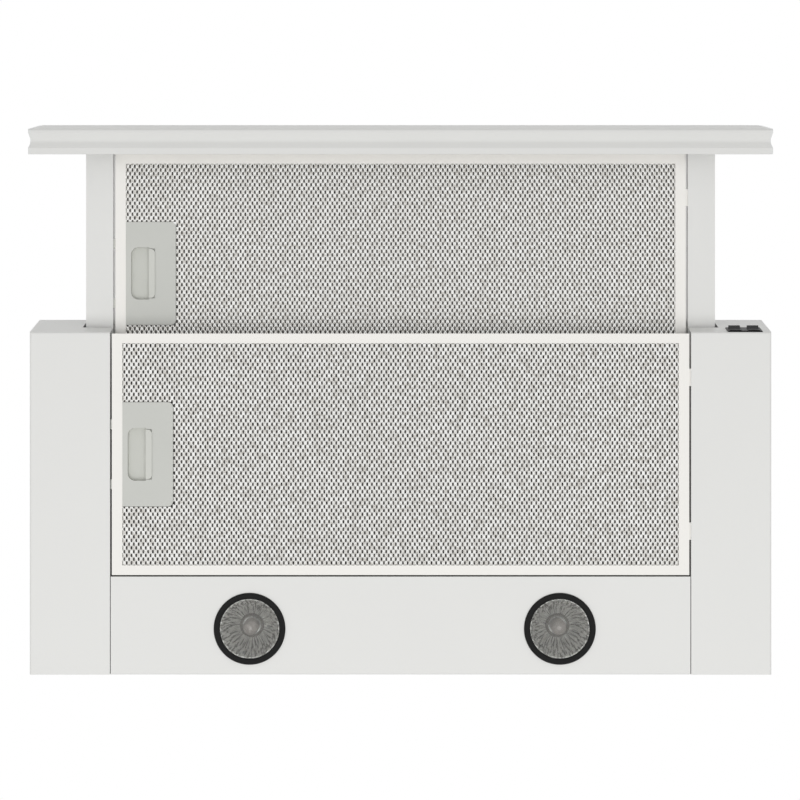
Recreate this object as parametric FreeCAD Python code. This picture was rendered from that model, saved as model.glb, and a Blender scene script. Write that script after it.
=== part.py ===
import FreeCAD, Part
import math
import os

from FreeCAD import Placement, Rotation, Vector

# Slide-out range hood, millimetres. Origin: centre of the four cabinet screw
# holes on top of the base flange. +Z up, -Y to the front, +X to the switches.

# Base, folded from sheet steel
base_height = 57.0
cheek_width = 64.8
face_lean = 11.7
sheet = 0.8
bend_radius = 2.0
overrun = 5.0
touch_gap = 0.3
fit_gap = 0.05
seam_gap = 1.55
inner_flange_height = 7.0
top_front_flange = 7.5
air_opening_edge = 22.0
air_opening_front_inset = 10.0
air_opening_back_inset = 6.0

# Cabinet screw holes in the base flange
cabinet_hole_edge = 8.0
cabinet_hole_spacing_y = 200.0
cabinet_hole_radius = 2.6

# Grease filters, both alike
filter_width = 465.3
filter_depth = 194.6
filter_height = 8.7
filter_lip_side = 8.5
filter_lip_end = 7.8
filter_sheet = 0.8
filter_front_gap = 1.06
filter_layer_count = 5
filter_layer_thickness = 0.4
filter_layer_pitch = 1.45
filter_tab_length = 4.9
filter_tab_width = 14.0
filter_tab_thickness = 1.2
filter_tab_place = 62.0

# Finger latch in the left end of each filter
latch_plate_width = 40.7
latch_plate_length = 84.0
latch_plate_height = 7.4
latch_wall = 1.4
latch_corner = 4.0
latch_finger_inset = 4.2
latch_pocket_width = 14.6
latch_pocket_length = 42.6
latch_pocket_corner = 6.0
latch_pocket_depth = 5.6
latch_rim = 1.0
latch_lip_width = 5.0
latch_lip_length = 40.0
latch_lip_proud = 0.9
latch_lip_corner = 3.5
latch_lip_edge = 0.4
latch_neck_width = 1.6
latch_travel = 3.0
latch_bar_thickness = 1.5
latch_bar_length = 66.0
latch_bar_right = 31.0
latch_tongue_width = 8.0
latch_tongue_place = 24.2
latch_spring_sheet = 0.3
latch_spring_width = 5.0
latch_spring_place = 27.0

# Lamp panel and lamps
lamp_panel_depth = 79.04
lamp_panel_gap = 0.6
lamp_panel_front_gap = 1.3
lamp_panel_flange = 12.0
lamp_spacing = 250.0
lamp_offset = 3.35
lamp_from_back = 37.05
lamp_bezel_radius = 28.9
lamp_bezel_sleeve_radius = 26.6
lamp_bezel_bore = 24.9
lamp_bezel_lip_bore = 23.9
lamp_bezel_proud = 1.6
lamp_bezel_lip = 1.0
lamp_bezel_sleeve_height = 13.0
lamp_hole_gap = 0.3
lamp_face_radius = 24.6
lamp_glass_thickness = 2.2
lamp_bowl_height = 31.0
lamp_bowl_wall = 1.3
lamp_neck_radius = 11.0
lamp_neck_height = 12.0
lamp_pin_radius = 1.6
lamp_pin_length = 5.0
lamp_pin_place = 5.0
lamp_burner_radius = 6.2
lamp_burner_height = 19.0
lamp_holder_radius = 13.5
lamp_holder_height = 15.0
lamp_clip_sheet = 0.5
lamp_clip_width = 9.0
lamp_clip_reach = 9.0
lamp_clip_rise = 9.0

# Twin switch in the right cheek's front face
switch_from_side = 21.0
switch_width = 28.0
switch_height = 17.0
switch_bottom = 1.2
switch_rim = 1.0
switch_pitch = 14.9
switch_body_width = 11.2
switch_body_height = 14.4
switch_body_depth = 17.0
switch_body_wall = 0.6
switch_blade_width = 4.0
switch_blade_thickness = 0.8
switch_blade_length = 7.0
rocker_width = 9.2
rocker_half_height = 5.8
rocker_proud = 2.3
rocker_root = 3.6
rocker_pin_radius = 1.0
rocker_pin_depth = 1.2
rocker_tilt = 8.0

# Visor: trim, frame and slides
visor_travel = 140.0
visor_rise = 25.3
visor_rail_width = 22.4
visor_rail_height = 20.0
visor_rail_lip = 7.0
visor_filter_front = 284.0
visor_filter_gap = 0.7
visor_lip_drop = 22.5
visor_lip_lean = 2.2
visor_lip_side_gap = 3.2
visor_rear_gap = 1.2
visor_bar_depth = 10.0
visor_rail_rear = 50.0
visor_opening_gap = 2.4
visor_opening_drop = 3.3
trim_overhang = 1.2
trim_front = 301.9
trim_back = 281.5
trim_height = 64.0
trim_lean = 9.8
trim_wall = 1.4
trim_top_flange = 12.0
trim_nose_radius = 2.3
trim_crest_radius = 1.2
trim_groove_inset = 3.2
trim_groove_width = 12.2
trim_groove_depth = 2.6
trim_groove_front_slope = 4.6
trim_groove_back_slope = 5.4
trim_groove_corner = 3.0
trim_cap_thickness = 2.4
trim_cap_notch_depth = 1.4
trim_cap_notch_back_slope = 3.6
trim_cap_notch_height = 16.0
trim_boss_thickness = 4.0
trim_boss_height = 9.0
trim_boss_rise = 30.0
slide_sheet = 1.2
slide_outer_length = 240.0
slide_outer_front = 134.0
slide_outer_height = 19.2
slide_outer_depth = 8.2
slide_outer_rise = 1.4
slide_inner_height = 10.4
slide_inner_depth = 6.0
slide_inner_front = 280.0
slide_reach = 11.2
slide_ball_radius = 1.3
slide_ball_gap = 0.2
slide_ball_inset = 1.5
slide_cage_length = 76.0
slide_cage_front = 132.0
slide_cage_sheet = 0.6
slide_cage_inset = 2.7
slide_cage_edge = 0.9
slide_ball_count = 5
slide_ball_margin = 8.0
hanger_sheet = 1.6
hanger_length = 236.0
hanger_flange = 15.0

# Motor housing and outlet collar
housing_height = 123.0
housing_side_inset = 37.0
housing_front_inset = 20.0
housing_back_inset = 14.0
housing_flange = 12.0
collar_radius = 59.5
collar_wall = 1.6
collar_height = 45.0
collar_flange_length = 144.0
collar_flange_width = 132.0
collar_flange_corner = 6.0
collar_flange_thickness = 2.0
collar_ledge = 2.4
collar_bar = 2.6
collar_screw_place_x = 66.0
collar_screw_place_y = 15.5
flap_radius = 56.6
flap_thickness = 1.2
flap_axis_offset = 4.0
flap_barrel_radius = 2.2
flap_barrel_length = 109.0
flap_pin_radius = 1.5
flap_pin_length = 118.0
flap_rise = 6.0

# Fan
fan_center_y = 10.0
fan_below_top = 63.0
scroll_step = 4.5
scroll_outlet_radius = 68.0
scroll_wall_thickness = 1.2
scroll_inner_width = 96.0
scroll_tongue_angle = 25.0
scroll_flange_width = 21.0
scroll_inlet_radius = 40.0
inlet_ring_lip = 4.0
inlet_ring_length = 4.0
inlet_ring_wall = 1.2
impeller_radius = 48.0
impeller_width = 86.0
impeller_blade_count = 32
impeller_blade_chord = 9.0
impeller_blade_thickness = 0.8
impeller_blade_angle = 35.0
impeller_ring_width = 2.0
impeller_ring_depth = 2.4
impeller_disc_thickness = 1.6
impeller_disc_place = 6.0
impeller_hub_radius = 8.0
impeller_hub_length = 12.0
motor_radius = 31.0
motor_left = 46.0
motor_right = 2.0
motor_boss_radius = 10.0
motor_fin_count = 8
motor_fin_depth = 1.6
motor_fin_width = 3.0
shaft_radius = 3.0
shaft_left = 55.0
shaft_right = 20.0
shaft_clearance = 0.06
bracket_hub_radius = 16.0
bracket_arm_reach = 47.0
bracket_arm_width = 10.0
bracket_sheet = 1.5
bracket_arm_count = 3
grommet_radius = 5.0
grommet_length = 2.3
capacitor_radius = 14.0
capacitor_height = 52.0
capacitor_stud_radius = 4.0
capacitor_nut_radius = 6.5
capacitor_nut_height = 4.0
capacitor_place_x = 150.0
capacitor_place_y = 60.0

# Terminal box on top of the housing
box_center_from_side = 72.0
box_center_y = 70.0
box_length = 90.0
box_width = 52.0
box_height = 28.0
box_wall = 2.0
box_lid_thickness = 2.5
box_wire_hole = 7.0
gland_radius = 9.0
gland_bore = 4.2
gland_thread_radius = 6.5
gland_length = 11.0
block_length = 48.0
block_width = 20.0
block_height = 14.0
block_way_count = 4
block_way_radius = 2.0

# Screws
screw_radius = 1.9
screw_head_radius = 3.8
screw_head_height = 2.4
screw_recess_width = 1.0
screw_recess_depth = 1.2
screw_length = 7.0
housing_screw_inset_x = 30.0
housing_screw_places = 3
trim_screw_place_outer = 205.0
trim_screw_place_inner = 70.0

# Places worked out from the sizes above
under = -base_height
base_depth = filter_front_gap + filter_depth + lamp_panel_front_gap + lamp_panel_depth
front = -base_depth / 2
back = base_depth / 2
opening_half = filter_width / 2 + seam_gap
half_width = opening_half + cheek_width
cabinet_hole_spacing_x = half_width * 2 - cabinet_hole_edge * 2
filter_front = front + filter_front_gap
filter_back = filter_front + filter_depth
lamp_panel_front = filter_back + lamp_panel_front_gap
lamp_panel_half = opening_half - lamp_panel_gap
lamp_y = back - lamp_from_back
visor_floor = under + visor_rise
visor_half_width = opening_half + visor_rail_width
visor_opening_half = visor_half_width + visor_opening_gap
visor_opening_floor = visor_floor - visor_opening_drop
housing_half = half_width - housing_side_inset
housing_front = -front - housing_front_inset
housing_back = back - housing_back_inset
housing_depth = housing_front + housing_back
air_opening_front = housing_front - air_opening_front_inset
air_opening_back = housing_back - air_opening_back_inset
box_center_x = housing_half - box_center_from_side
switch_center = half_width - switch_from_side
trim_half = half_width + trim_overhang
trim_top = under + trim_height
slide_web = opening_half + touch_gap + sheet
slide_outer_plate = slide_web + slide_reach
slide_outer_floor = visor_floor + slide_outer_rise
slide_middle = slide_outer_floor + slide_outer_height / 2
fan_center_z = housing_height - fan_below_top
fan_center = Vector(0, fan_center_y, fan_center_z)
scroll_half = scroll_inner_width / 2
lamp_places = (lamp_offset - lamp_spacing / 2, lamp_offset + lamp_spacing / 2)

AXIS_X = Vector(1, 0, 0)
AXIS_Y = Vector(0, 1, 0)
AXIS_Z = Vector(0, 0, 1)


def block(x0, x1, y0, y1, z0, z1):
    """Box between two corners."""
    return Part.makeBox(x1 - x0, y1 - y0, z1 - z0, Vector(x0, y0, z0))


def rod(radius, start, end):
    """Cylinder from one point to another."""
    return Part.makeCylinder(radius, (end - start).Length, start, end - start)


def tube(outer, inner, start, end):
    """Hollow cylinder from one point to another."""
    way = (end - start).normalize() * overrun
    return rod(outer, start, end).cut(rod(inner, start - way, end + way))


def prism(points, reach):
    """Closed outline of points, drawn out along a vector."""
    return Part.Face(Part.makePolygon(points + points[:1])).extrude(reach)


def across(points, x0, x1):
    """Outline in the side view, given as (y, z), drawn across the hood."""
    return prism([Vector(x0, y, z) for y, z in points], Vector(x1 - x0, 0, 0))


def lengthwise(points, y0, y1):
    """Outline in the front view, given as (x, z), drawn front to back."""
    return prism([Vector(x, y0, z) for x, z in points], Vector(0, y1 - y0, 0))


def joined(shapes):
    """One solid from several that touch."""
    return shapes[0].multiFuse(shapes[1:]).removeSplitter()


def mirrored(shape):
    """The other hand of a shape, across the hood's middle plane."""
    return shape.mirror(Vector(0, 0, 0), AXIS_X)


def moved(shape, x, y, z):
    """A copy of a shape, shifted."""
    copy = shape.copy()
    copy.translate(Vector(x, y, z))
    return copy


def turned(shape, center, axis, degrees):
    """A copy of a shape, turned about an axis."""
    copy = shape.copy()
    copy.rotate(center, axis, degrees)
    return copy


def face_y(z):
    """Front of the base's leaning face at a height."""
    return front - face_lean * (z - under) / base_height


def trim_face_y(z):
    """Front of the trim's leaning face at a height."""
    return -trim_front - trim_lean * (z - under) / trim_height


def rounded_edges(shape, radius, wanted):
    """Fillet the edges whose middle passes the test."""
    edges = [edge for edge in shape.Edges if wanted(edge.CenterOfMass)]
    return shape.makeFillet(radius, edges)


def near(value, target):
    """True when two places agree within the fit gap."""
    return abs(value - target) < fit_gap


def screw(head, way, length):
    """Pan head screw: head point on the clamped face, way towards the tip."""
    up = way * -screw_head_height
    body = joined([rod(screw_head_radius, head, head + up), rod(screw_radius, head, head + way * length)])
    recess = Part.makeBox(screw_head_radius, screw_recess_width, screw_recess_depth)
    recess.translate(Vector(-screw_head_radius / 2, -screw_recess_width / 2, -screw_recess_depth))
    cross = recess.fuse(turned(recess, Vector(0, 0, 0), AXIS_Z, 90))
    cross.Placement = Placement(head + up, Rotation(AXIS_Z, way * -1))
    return body.cut(cross)


# Base shell

def cheek_shell():
    """Right cheek: underside, leaning face, side and back wall in one folded sheet."""
    lid = -sheet
    outline = [(front, under), (back, under), (back, lid), (face_y(lid), lid)]
    outer = across(outline, opening_half, half_width)
    outer = rounded_edges(
        outer, bend_radius,
        lambda c: near(c.z, under) and (near(c.y, front) or near(c.x, half_width)))
    inside = [
        (face_y(under + sheet) + sheet, under + sheet),
        (back - sheet, under + sheet),
        (back - sheet, overrun),
        (face_y(overrun) + sheet, overrun),
    ]
    hollow = across(inside, opening_half - overrun, half_width - sheet)
    bend = bend_radius - sheet
    corner = half_width - sheet
    hollow = rounded_edges(
        hollow, bend,
        lambda c: near(c.z, under + sheet) and (near(c.y, inside[0][0]) or near(c.x, corner)))
    visor_way = block(opening_half - overrun, visor_opening_half, face_y(overrun) - overrun,
                      front + overrun, visor_opening_floor, overrun)
    return outer.cut(hollow).cut(visor_way)


def inner_flange():
    """Turned-up edge of the cheek beside the rear filter."""
    return block(opening_half, opening_half + sheet, front + bend_radius + sheet,
                 lamp_panel_front, under + sheet / 2, under + inner_flange_height)


def notches(width, places):
    """Slots in the inner flange for a filter's tabs or latch tongues."""
    middle = filter_front + filter_depth / 2
    half = width / 2 + touch_gap * 2
    return [block(opening_half - overrun, opening_half + sheet + touch_gap, middle + place - half,
                  middle + place + half, under + sheet, under + inner_flange_height + overrun)
            for place in places]


def right_cheek():
    """Right cheek with slots for the filter tabs and the switch cut-out."""
    shape = joined([cheek_shell(), inner_flange()])
    for notch in notches(filter_tab_width, (-filter_tab_place, filter_tab_place)):
        shape = shape.cut(notch)
    return shape.cut(on_face(switch_cutout()))


def left_cheek():
    """Left cheek with slots for the latch tongues."""
    shape = joined([cheek_shell(), inner_flange()])
    for notch in notches(latch_tongue_width, (-latch_tongue_place, latch_tongue_place)):
        shape = shape.cut(notch)
    return mirrored(shape)


def cabinet_holes():
    """Places of the four screws into the cabinet sides."""
    x = cabinet_hole_spacing_x / 2
    y = cabinet_hole_spacing_y / 2
    return [Vector(sx * x, sy * y, 0) for sx in (-1, 1) for sy in (-1, 1)]


def base_top_plate():
    """Top plate that closes the base and carries the cabinet flange."""
    plate = block(-half_width, half_width, face_y(0), back, -sheet, 0)
    strip = [
        (face_y(0), 0),
        (face_y(-top_front_flange), -top_front_flange),
        (face_y(-top_front_flange) + sheet, -top_front_flange),
        (face_y(0) + sheet, 0),
    ]
    side = visor_opening_half - touch_gap
    shape = joined([plate, across(strip, -side, side)])
    air = housing_half - air_opening_edge
    shape = shape.cut(block(-air, air, -air_opening_front, air_opening_back, -overrun, overrun))
    for place in cabinet_holes():
        shape = shape.cut(rod(cabinet_hole_radius, place - AXIS_Z * overrun, place + AXIS_Z * overrun))
    for place in housing_screw_places_xy():
        shape = shape.cut(rod(screw_radius + fit_gap, place - AXIS_Z * overrun, place + AXIS_Z * overrun))
    return shape


def lamp_panel():
    """Rear underside panel with the two lamp holes and the back wall."""
    half = lamp_panel_half
    outer = block(-half, half, lamp_panel_front, back, under, -sheet)
    outer = rounded_edges(outer, bend_radius, lambda c: near(c.z, under) and near(c.y, back))
    hollow = block(-half + sheet, half - sheet, lamp_panel_front + sheet, back - sheet,
                   under + sheet, overrun)
    shape = outer.cut(hollow)
    low = under + lamp_panel_flange
    shape = shape.cut(block(-half - overrun, half + overrun, lamp_panel_front - overrun, back - sheet,
                            low, overrun))
    for x in lamp_places:
        place = Vector(x, lamp_y, under)
        hole = lamp_bezel_sleeve_radius + lamp_hole_gap
        shape = shape.cut(rod(hole, place - AXIS_Z * overrun, place + AXIS_Z * overrun))
    return shape


# Motor housing, collar and flaps

def housing_screw_places_xy():
    """Screws through the housing flange, along all four sides."""
    x = housing_half + housing_flange / 2
    rows_y = (-housing_front - housing_flange / 2, housing_back + housing_flange / 2)
    reach = housing_half - housing_screw_inset_x
    rows = [index / (housing_screw_places - 1) for index in range(housing_screw_places)]
    length = housing_depth - housing_screw_inset_x * 2
    start = housing_screw_inset_x - housing_front
    sides = [Vector(side * x, start + share * length, 0) for side in (-1, 1) for share in rows]
    return sides + [Vector(-reach + share * reach * 2, y, 0) for y in rows_y for share in rows]


def collar_screw_places():
    """Screws that clamp the collar, the housing top and the scroll flanges."""
    middle = collar_center()
    return [middle + Vector(sx * collar_screw_place_x, sy * collar_screw_place_y, 0)
            for sx in (-1, 1) for sy in (-1, 1)]


def motor_housing():
    """Upper box of folded sheet, open below, with a screwed flange."""
    half = housing_half
    outer = block(-half, half, -housing_front, housing_back, 0, housing_height)
    outer = rounded_edges(outer, bend_radius, lambda c: near(c.z, housing_height))
    flange = block(-half - housing_flange, half + housing_flange, -housing_front - housing_flange,
                   housing_back + housing_flange, 0, sheet)
    hollow = block(-half + sheet, half - sheet, -housing_front + sheet, housing_back - sheet,
                   -overrun, housing_height - sheet)
    shape = joined([outer, flange]).cut(hollow)
    for place in housing_screw_places_xy():
        shape = shape.cut(rod(screw_radius + fit_gap, place - AXIS_Z * overrun, place + AXIS_Z * overrun))
    top = Vector(0, 0, housing_height)
    middle = collar_center()
    inner = collar_radius - collar_wall - collar_ledge
    holes = [(middle, inner)]
    holes += [(place, screw_radius + fit_gap) for place in collar_screw_places()]
    holes.append((top + Vector(box_center_x, -box_center_y, 0), box_wire_hole))
    holes.append((top + Vector(-capacitor_place_x, -capacitor_place_y, 0), capacitor_stud_radius + fit_gap))
    for place, radius in holes:
        shape = shape.cut(rod(radius, place - AXIS_Z * overrun, place + AXIS_Z * overrun))
    return shape


def collar_center():
    """Centre of the outlet on the housing top, over the middle of the scroll's mouth."""
    return Vector(0, (scroll_tongue_y() + scroll_back_y()) / 2, housing_height)


def flap_height():
    """Height of the flaps' pins."""
    return housing_height + flap_rise


def outlet_collar():
    """Round duct spigot with screwed flange, flap ledge and centre bar."""
    base = collar_center()
    inner = collar_radius - collar_wall
    flange = block(-collar_flange_length / 2, collar_flange_length / 2, base.y - collar_flange_width / 2,
                   base.y + collar_flange_width / 2, base.z, base.z + collar_flange_thickness)
    flange = rounded_edges(
        flange, collar_flange_corner,
        lambda c: near(c.z, base.z + collar_flange_thickness / 2))
    bore = rod(inner - collar_ledge, base - AXIS_Z * overrun, base + AXIS_Z * overrun)
    ledge_top = Vector(base.x, base.y, flap_height() - flap_thickness / 2 - touch_gap)
    pieces = [
        flange.cut(bore),
        tube(collar_radius, inner, base, base + AXIS_Z * collar_height),
        tube(collar_radius, inner - collar_ledge, base, ledge_top),
        block(-inner, inner, base.y - collar_bar / 2, base.y + collar_bar / 2, base.z,
              flap_height() + flap_thickness),
    ]
    shape = joined(pieces)
    for side in (-1, 1):
        middle = Vector(0, base.y + side * flap_axis_offset, flap_height())
        reach = AXIS_X * (collar_radius + overrun)
        shape = shape.cut(rod(flap_pin_radius + shaft_clearance, middle - reach, middle + reach))
    for place in collar_screw_places():
        shape = shape.cut(rod(screw_radius + fit_gap, place - AXIS_Z * overrun, place + AXIS_Z * overrun))
    return shape


def damper_flap(side):
    """Half-round backdraft flap with a hinge barrel and end pins."""
    base = collar_center()
    middle = Vector(0, base.y + side * flap_axis_offset, flap_height())
    low = middle.z - flap_thickness / 2
    disc = rod(flap_radius, Vector(0, base.y, low), Vector(0, base.y, low + flap_thickness))
    near_side = middle.y
    far_side = base.y + side * (flap_radius + overrun)
    half = block(-flap_radius - overrun, flap_radius + overrun, min(near_side, far_side),
                 max(near_side, far_side), low - overrun, low + overrun)
    reach = AXIS_X * flap_barrel_length / 2
    barrel = rod(flap_barrel_radius, middle - reach, middle + reach)
    inside = rod(flap_radius, Vector(0, base.y, low - overrun), Vector(0, base.y, low + overrun))
    pin = rod(flap_pin_radius, middle - AXIS_X * flap_pin_length / 2, middle + AXIS_X * flap_pin_length / 2)
    return joined([disc.common(half), barrel.common(inside), pin])


# Fan

def scroll_centers():
    """Centres and radii of the spiral's four quarter arcs, from the outlet inwards."""
    s = scroll_step / 2
    radii = [scroll_outlet_radius - scroll_step * index for index in range(4)]
    shifts = [(s, s), (s, -s), (-s, -s), (-s, s)]
    return [(fan_center_y + dy, fan_center_z + dz, r) for (dy, dz), r in zip(shifts, radii)]


def scroll_back_y():
    """Inside of the mouth's back wall."""
    y, z, r = scroll_centers()[0]
    return y + r


def scroll_tongue_y():
    """Inside of the mouth's front wall, at the tongue."""
    y, z, r = scroll_centers()[3]
    return y + r * math.sin(math.radians(scroll_tongue_angle))


def scroll_prism(grow, x0, x1):
    """Space inside the spiral, grown by a wall thickness, drawn across."""
    (y1, z1, r1), (y2, z2, r2), (y3, z3, r3), (y4, z4, r4) = scroll_centers()
    top = housing_height - sheet
    slant = math.sqrt(0.5)

    def arc(y, z, r, a, b):
        r = r + grow
        middle = (a[0] + b[0]) * slant, (a[1] + b[1]) * slant
        spots = [Vector(x0, y + r * c, z + r * s) for c, s in (a, middle, b)]
        return Part.Arc(*spots).toShape()

    tongue_y = scroll_tongue_y() - grow
    reach = r4 + grow
    tongue_z = z4 + math.sqrt(reach ** 2 - (tongue_y - y4) ** 2)
    half_turn = math.asin((tongue_y - y4) / reach) / 2
    tongue_middle = Vector(x0, y4 + reach * math.sin(half_turn), z4 + reach * math.cos(half_turn))
    back_y = y1 + r1 + grow
    last = Part.Arc(Vector(x0, y4, z4 + reach), tongue_middle, Vector(x0, tongue_y, tongue_z)).toShape()
    edges = [
        Part.LineSegment(Vector(x0, back_y, top), Vector(x0, back_y, z1)).toShape(),
        arc(y1, z1, r1, (1, 0), (0, -1)),
        arc(y2, z2, r2, (0, -1), (-1, 0)),
        arc(y3, z3, r3, (-1, 0), (0, 1)),
        last,
        Part.LineSegment(Vector(x0, tongue_y, tongue_z), Vector(x0, tongue_y, top)).toShape(),
        Part.LineSegment(Vector(x0, tongue_y, top), Vector(x0, back_y, top)).toShape(),
    ]
    return Part.Face(Part.Wire(edges)).extrude(Vector(x1 - x0, 0, 0))


def scroll_wall():
    """Spiral wall of the fan casing."""
    outer = scroll_prism(scroll_wall_thickness, -scroll_half, scroll_half)
    inner = scroll_prism(0, -scroll_half - overrun, scroll_half + overrun)
    back_y = scroll_back_y()
    mouth = block(-scroll_half - overrun, scroll_half + overrun, scroll_tongue_y(), back_y,
                  housing_height - sheet - overrun, housing_height)
    return outer.cut(inner).cut(mouth)


def scroll_side():
    """Right side plate of the fan casing with its inlet hole and top flange."""
    t = scroll_wall_thickness
    top = housing_height - sheet
    plate = scroll_prism(t, scroll_half, scroll_half + t)
    flange = block(scroll_half, scroll_half + t + scroll_flange_width, scroll_tongue_y() - t,
                   scroll_back_y() + t, top - t, top)
    shape = joined([plate, flange])
    reach = AXIS_X * (scroll_half + overrun * 2)
    shape = shape.cut(rod(scroll_inlet_radius, fan_center, fan_center + reach))
    for place in collar_screw_places():
        shape = shape.cut(rod(screw_radius + fit_gap, place - AXIS_Z * overrun, place + AXIS_Z * overrun))
    return shape


def bracket_places():
    """Directions of the motor bracket's arms."""
    turns = [math.radians(90 + 360 * index / bracket_arm_count) for index in range(bracket_arm_count)]
    return [Vector(0, math.cos(turn), math.sin(turn)) for turn in turns]


def bracket_screw_radius():
    """Radius of the circle on which the bracket's screws stand."""
    return bracket_arm_reach - bracket_arm_width / 2 + touch_gap


def scroll_side_left():
    """Left side plate, with the holes for the motor bracket's screws."""
    shape = mirrored(scroll_side())
    for way in bracket_places():
        spot = fan_center + way * bracket_screw_radius() - AXIS_X * scroll_half
        shape = shape.cut(rod(screw_radius + fit_gap, spot - AXIS_X * overrun, spot + AXIS_X * overrun))
    return shape


def inlet_ring():
    """Bell-mouthed ring in the right inlet."""
    face = fan_center + AXIS_X * (scroll_half + scroll_wall_thickness)
    lip = tube(scroll_inlet_radius + inlet_ring_lip, scroll_inlet_radius - inlet_ring_wall - touch_gap,
               face, face + AXIS_X * inlet_ring_wall)
    neck = tube(scroll_inlet_radius - touch_gap, scroll_inlet_radius - inlet_ring_wall - touch_gap,
                face - AXIS_X * inlet_ring_length, face + AXIS_X * inlet_ring_wall)
    return joined([lip, neck])


def impeller():
    """Double-inlet drum: ring of forward-curved blades, middle disc, end rings and hub."""
    half = impeller_width / 2
    mean = impeller_radius - impeller_ring_depth / 2 - impeller_blade_chord / 2
    blade = block(-half, half, -impeller_blade_chord / 2, impeller_blade_chord / 2,
                  -impeller_blade_thickness / 2, impeller_blade_thickness / 2)
    blade = turned(blade, Vector(0, 0, 0), AXIS_X, impeller_blade_angle)
    blade = moved(blade, 0, mean, 0)
    blades = [turned(blade, Vector(0, 0, 0), AXIS_X, 360 * index / impeller_blade_count)
              for index in range(impeller_blade_count)]
    inner = impeller_radius - impeller_ring_depth
    rings = [tube(impeller_radius, inner, Vector(x, 0, 0), Vector(x + impeller_ring_width, 0, 0))
             for x in (-half, half - impeller_ring_width)]
    start = Vector(impeller_disc_place, 0, 0)
    disc = rod(impeller_radius, start, start + AXIS_X * impeller_disc_thickness)
    hub = rod(impeller_hub_radius, start, start + AXIS_X * impeller_hub_length)
    drum = joined(blades + rings + [disc, hub])
    bore = rod(shaft_radius + fit_gap, Vector(-half, 0, 0), Vector(half, 0, 0))
    return moved(drum.cut(bore), 0, fan_center_y, fan_center_z)


def motor_body():
    """Motor can inside the impeller, with cooling flutes and a rear boss."""
    left = fan_center - AXIS_X * motor_left
    right = fan_center - AXIS_X * motor_right
    bracket_face = fan_center - AXIS_X * (scroll_half + scroll_wall_thickness + grommet_length)
    shape = joined([rod(motor_radius, left, right), rod(motor_boss_radius, bracket_face, left + AXIS_X)])
    for index in range(motor_fin_count):
        flute = block(-motor_left + motor_fin_width, -motor_right - motor_fin_width,
                      motor_radius - motor_fin_depth, motor_radius + overrun,
                      -motor_fin_width / 2, motor_fin_width / 2)
        flute = turned(flute, Vector(0, 0, 0), AXIS_X, 360 * index / motor_fin_count)
        shape = shape.cut(moved(flute, 0, fan_center_y, fan_center_z))
    return shape.cut(rod(shaft_radius + shaft_clearance, bracket_face - AXIS_X, right + AXIS_X))


def motor_shaft():
    """Steel shaft that carries the impeller."""
    return rod(shaft_radius, fan_center - AXIS_X * shaft_left, fan_center + AXIS_X * shaft_right)


def motor_bracket():
    """Three-armed steel spider that holds the motor in the left inlet."""
    inner = fan_center - AXIS_X * (scroll_half + scroll_wall_thickness + grommet_length)
    outer = inner - AXIS_X * bracket_sheet
    pieces = [rod(bracket_hub_radius, outer, inner)]
    for index in range(bracket_arm_count):
        arm = block(outer.x, inner.x, 0, bracket_arm_reach, -bracket_arm_width / 2, bracket_arm_width / 2)
        arm = turned(arm, Vector(0, 0, 0), AXIS_X, 90 + 360 * index / bracket_arm_count)
        pieces.append(moved(arm, 0, fan_center_y, fan_center_z))
    shape = joined(pieces)
    shape = shape.cut(rod(shaft_radius + touch_gap, outer - AXIS_X, inner + AXIS_X))
    for way in bracket_places():
        spot = inner + way * bracket_screw_radius()
        shape = shape.cut(rod(screw_radius + fit_gap, spot - AXIS_X * overrun, spot + AXIS_X * overrun))
    return shape


def motor_grommets():
    """Rubber bushes between the bracket's arms and the casing."""
    start = fan_center - AXIS_X * (scroll_half + scroll_wall_thickness + grommet_length)
    return [tube(grommet_radius, screw_radius + fit_gap, start + way * bracket_screw_radius(),
                 start + way * bracket_screw_radius() + AXIS_X * grommet_length)
            for way in bracket_places()]


def motor_screws():
    """Screws through the bracket arms into the casing."""
    head_x = scroll_half + scroll_wall_thickness + grommet_length + bracket_sheet
    start = fan_center - AXIS_X * head_x
    return [screw(start + way * bracket_screw_radius(), AXIS_X, screw_length) for way in bracket_places()]


def capacitor():
    """Motor capacitor, hung from the housing top by its stud."""
    top = Vector(-capacitor_place_x, -capacitor_place_y, housing_height - sheet)
    can = rod(capacitor_radius, top - AXIS_Z * capacitor_height, top)
    can = rounded_edges(can, bend_radius, lambda c: near(c.z, top.z - capacitor_height))
    stud = rod(capacitor_stud_radius, top, top + AXIS_Z * (sheet + capacitor_nut_height + sheet))
    return joined([can, stud])


def capacitor_nut():
    """Hexagon nut on the capacitor's stud."""
    base = Vector(-capacitor_place_x, -capacitor_place_y, housing_height)
    turns = [math.radians(60 * index) for index in range(6)]
    corners = [base + Vector(math.cos(turn), math.sin(turn), 0) * capacitor_nut_radius for turn in turns]
    nut = prism(corners, AXIS_Z * capacitor_nut_height)
    return nut.cut(rod(capacitor_stud_radius + fit_gap, base - AXIS_Z, base + AXIS_Z * overrun * 2))


# Terminal box

def box_sides():
    """Outer limits of the terminal box in plan."""
    x0 = box_center_x - box_length / 2
    y0 = -box_center_y - box_width / 2
    return x0, x0 + box_length, y0, y0 + box_width


def gland_middle():
    """Centre of the gland's hole on the box's right wall."""
    return Vector(box_sides()[1], -box_center_y, housing_height + box_height / 2)


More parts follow.
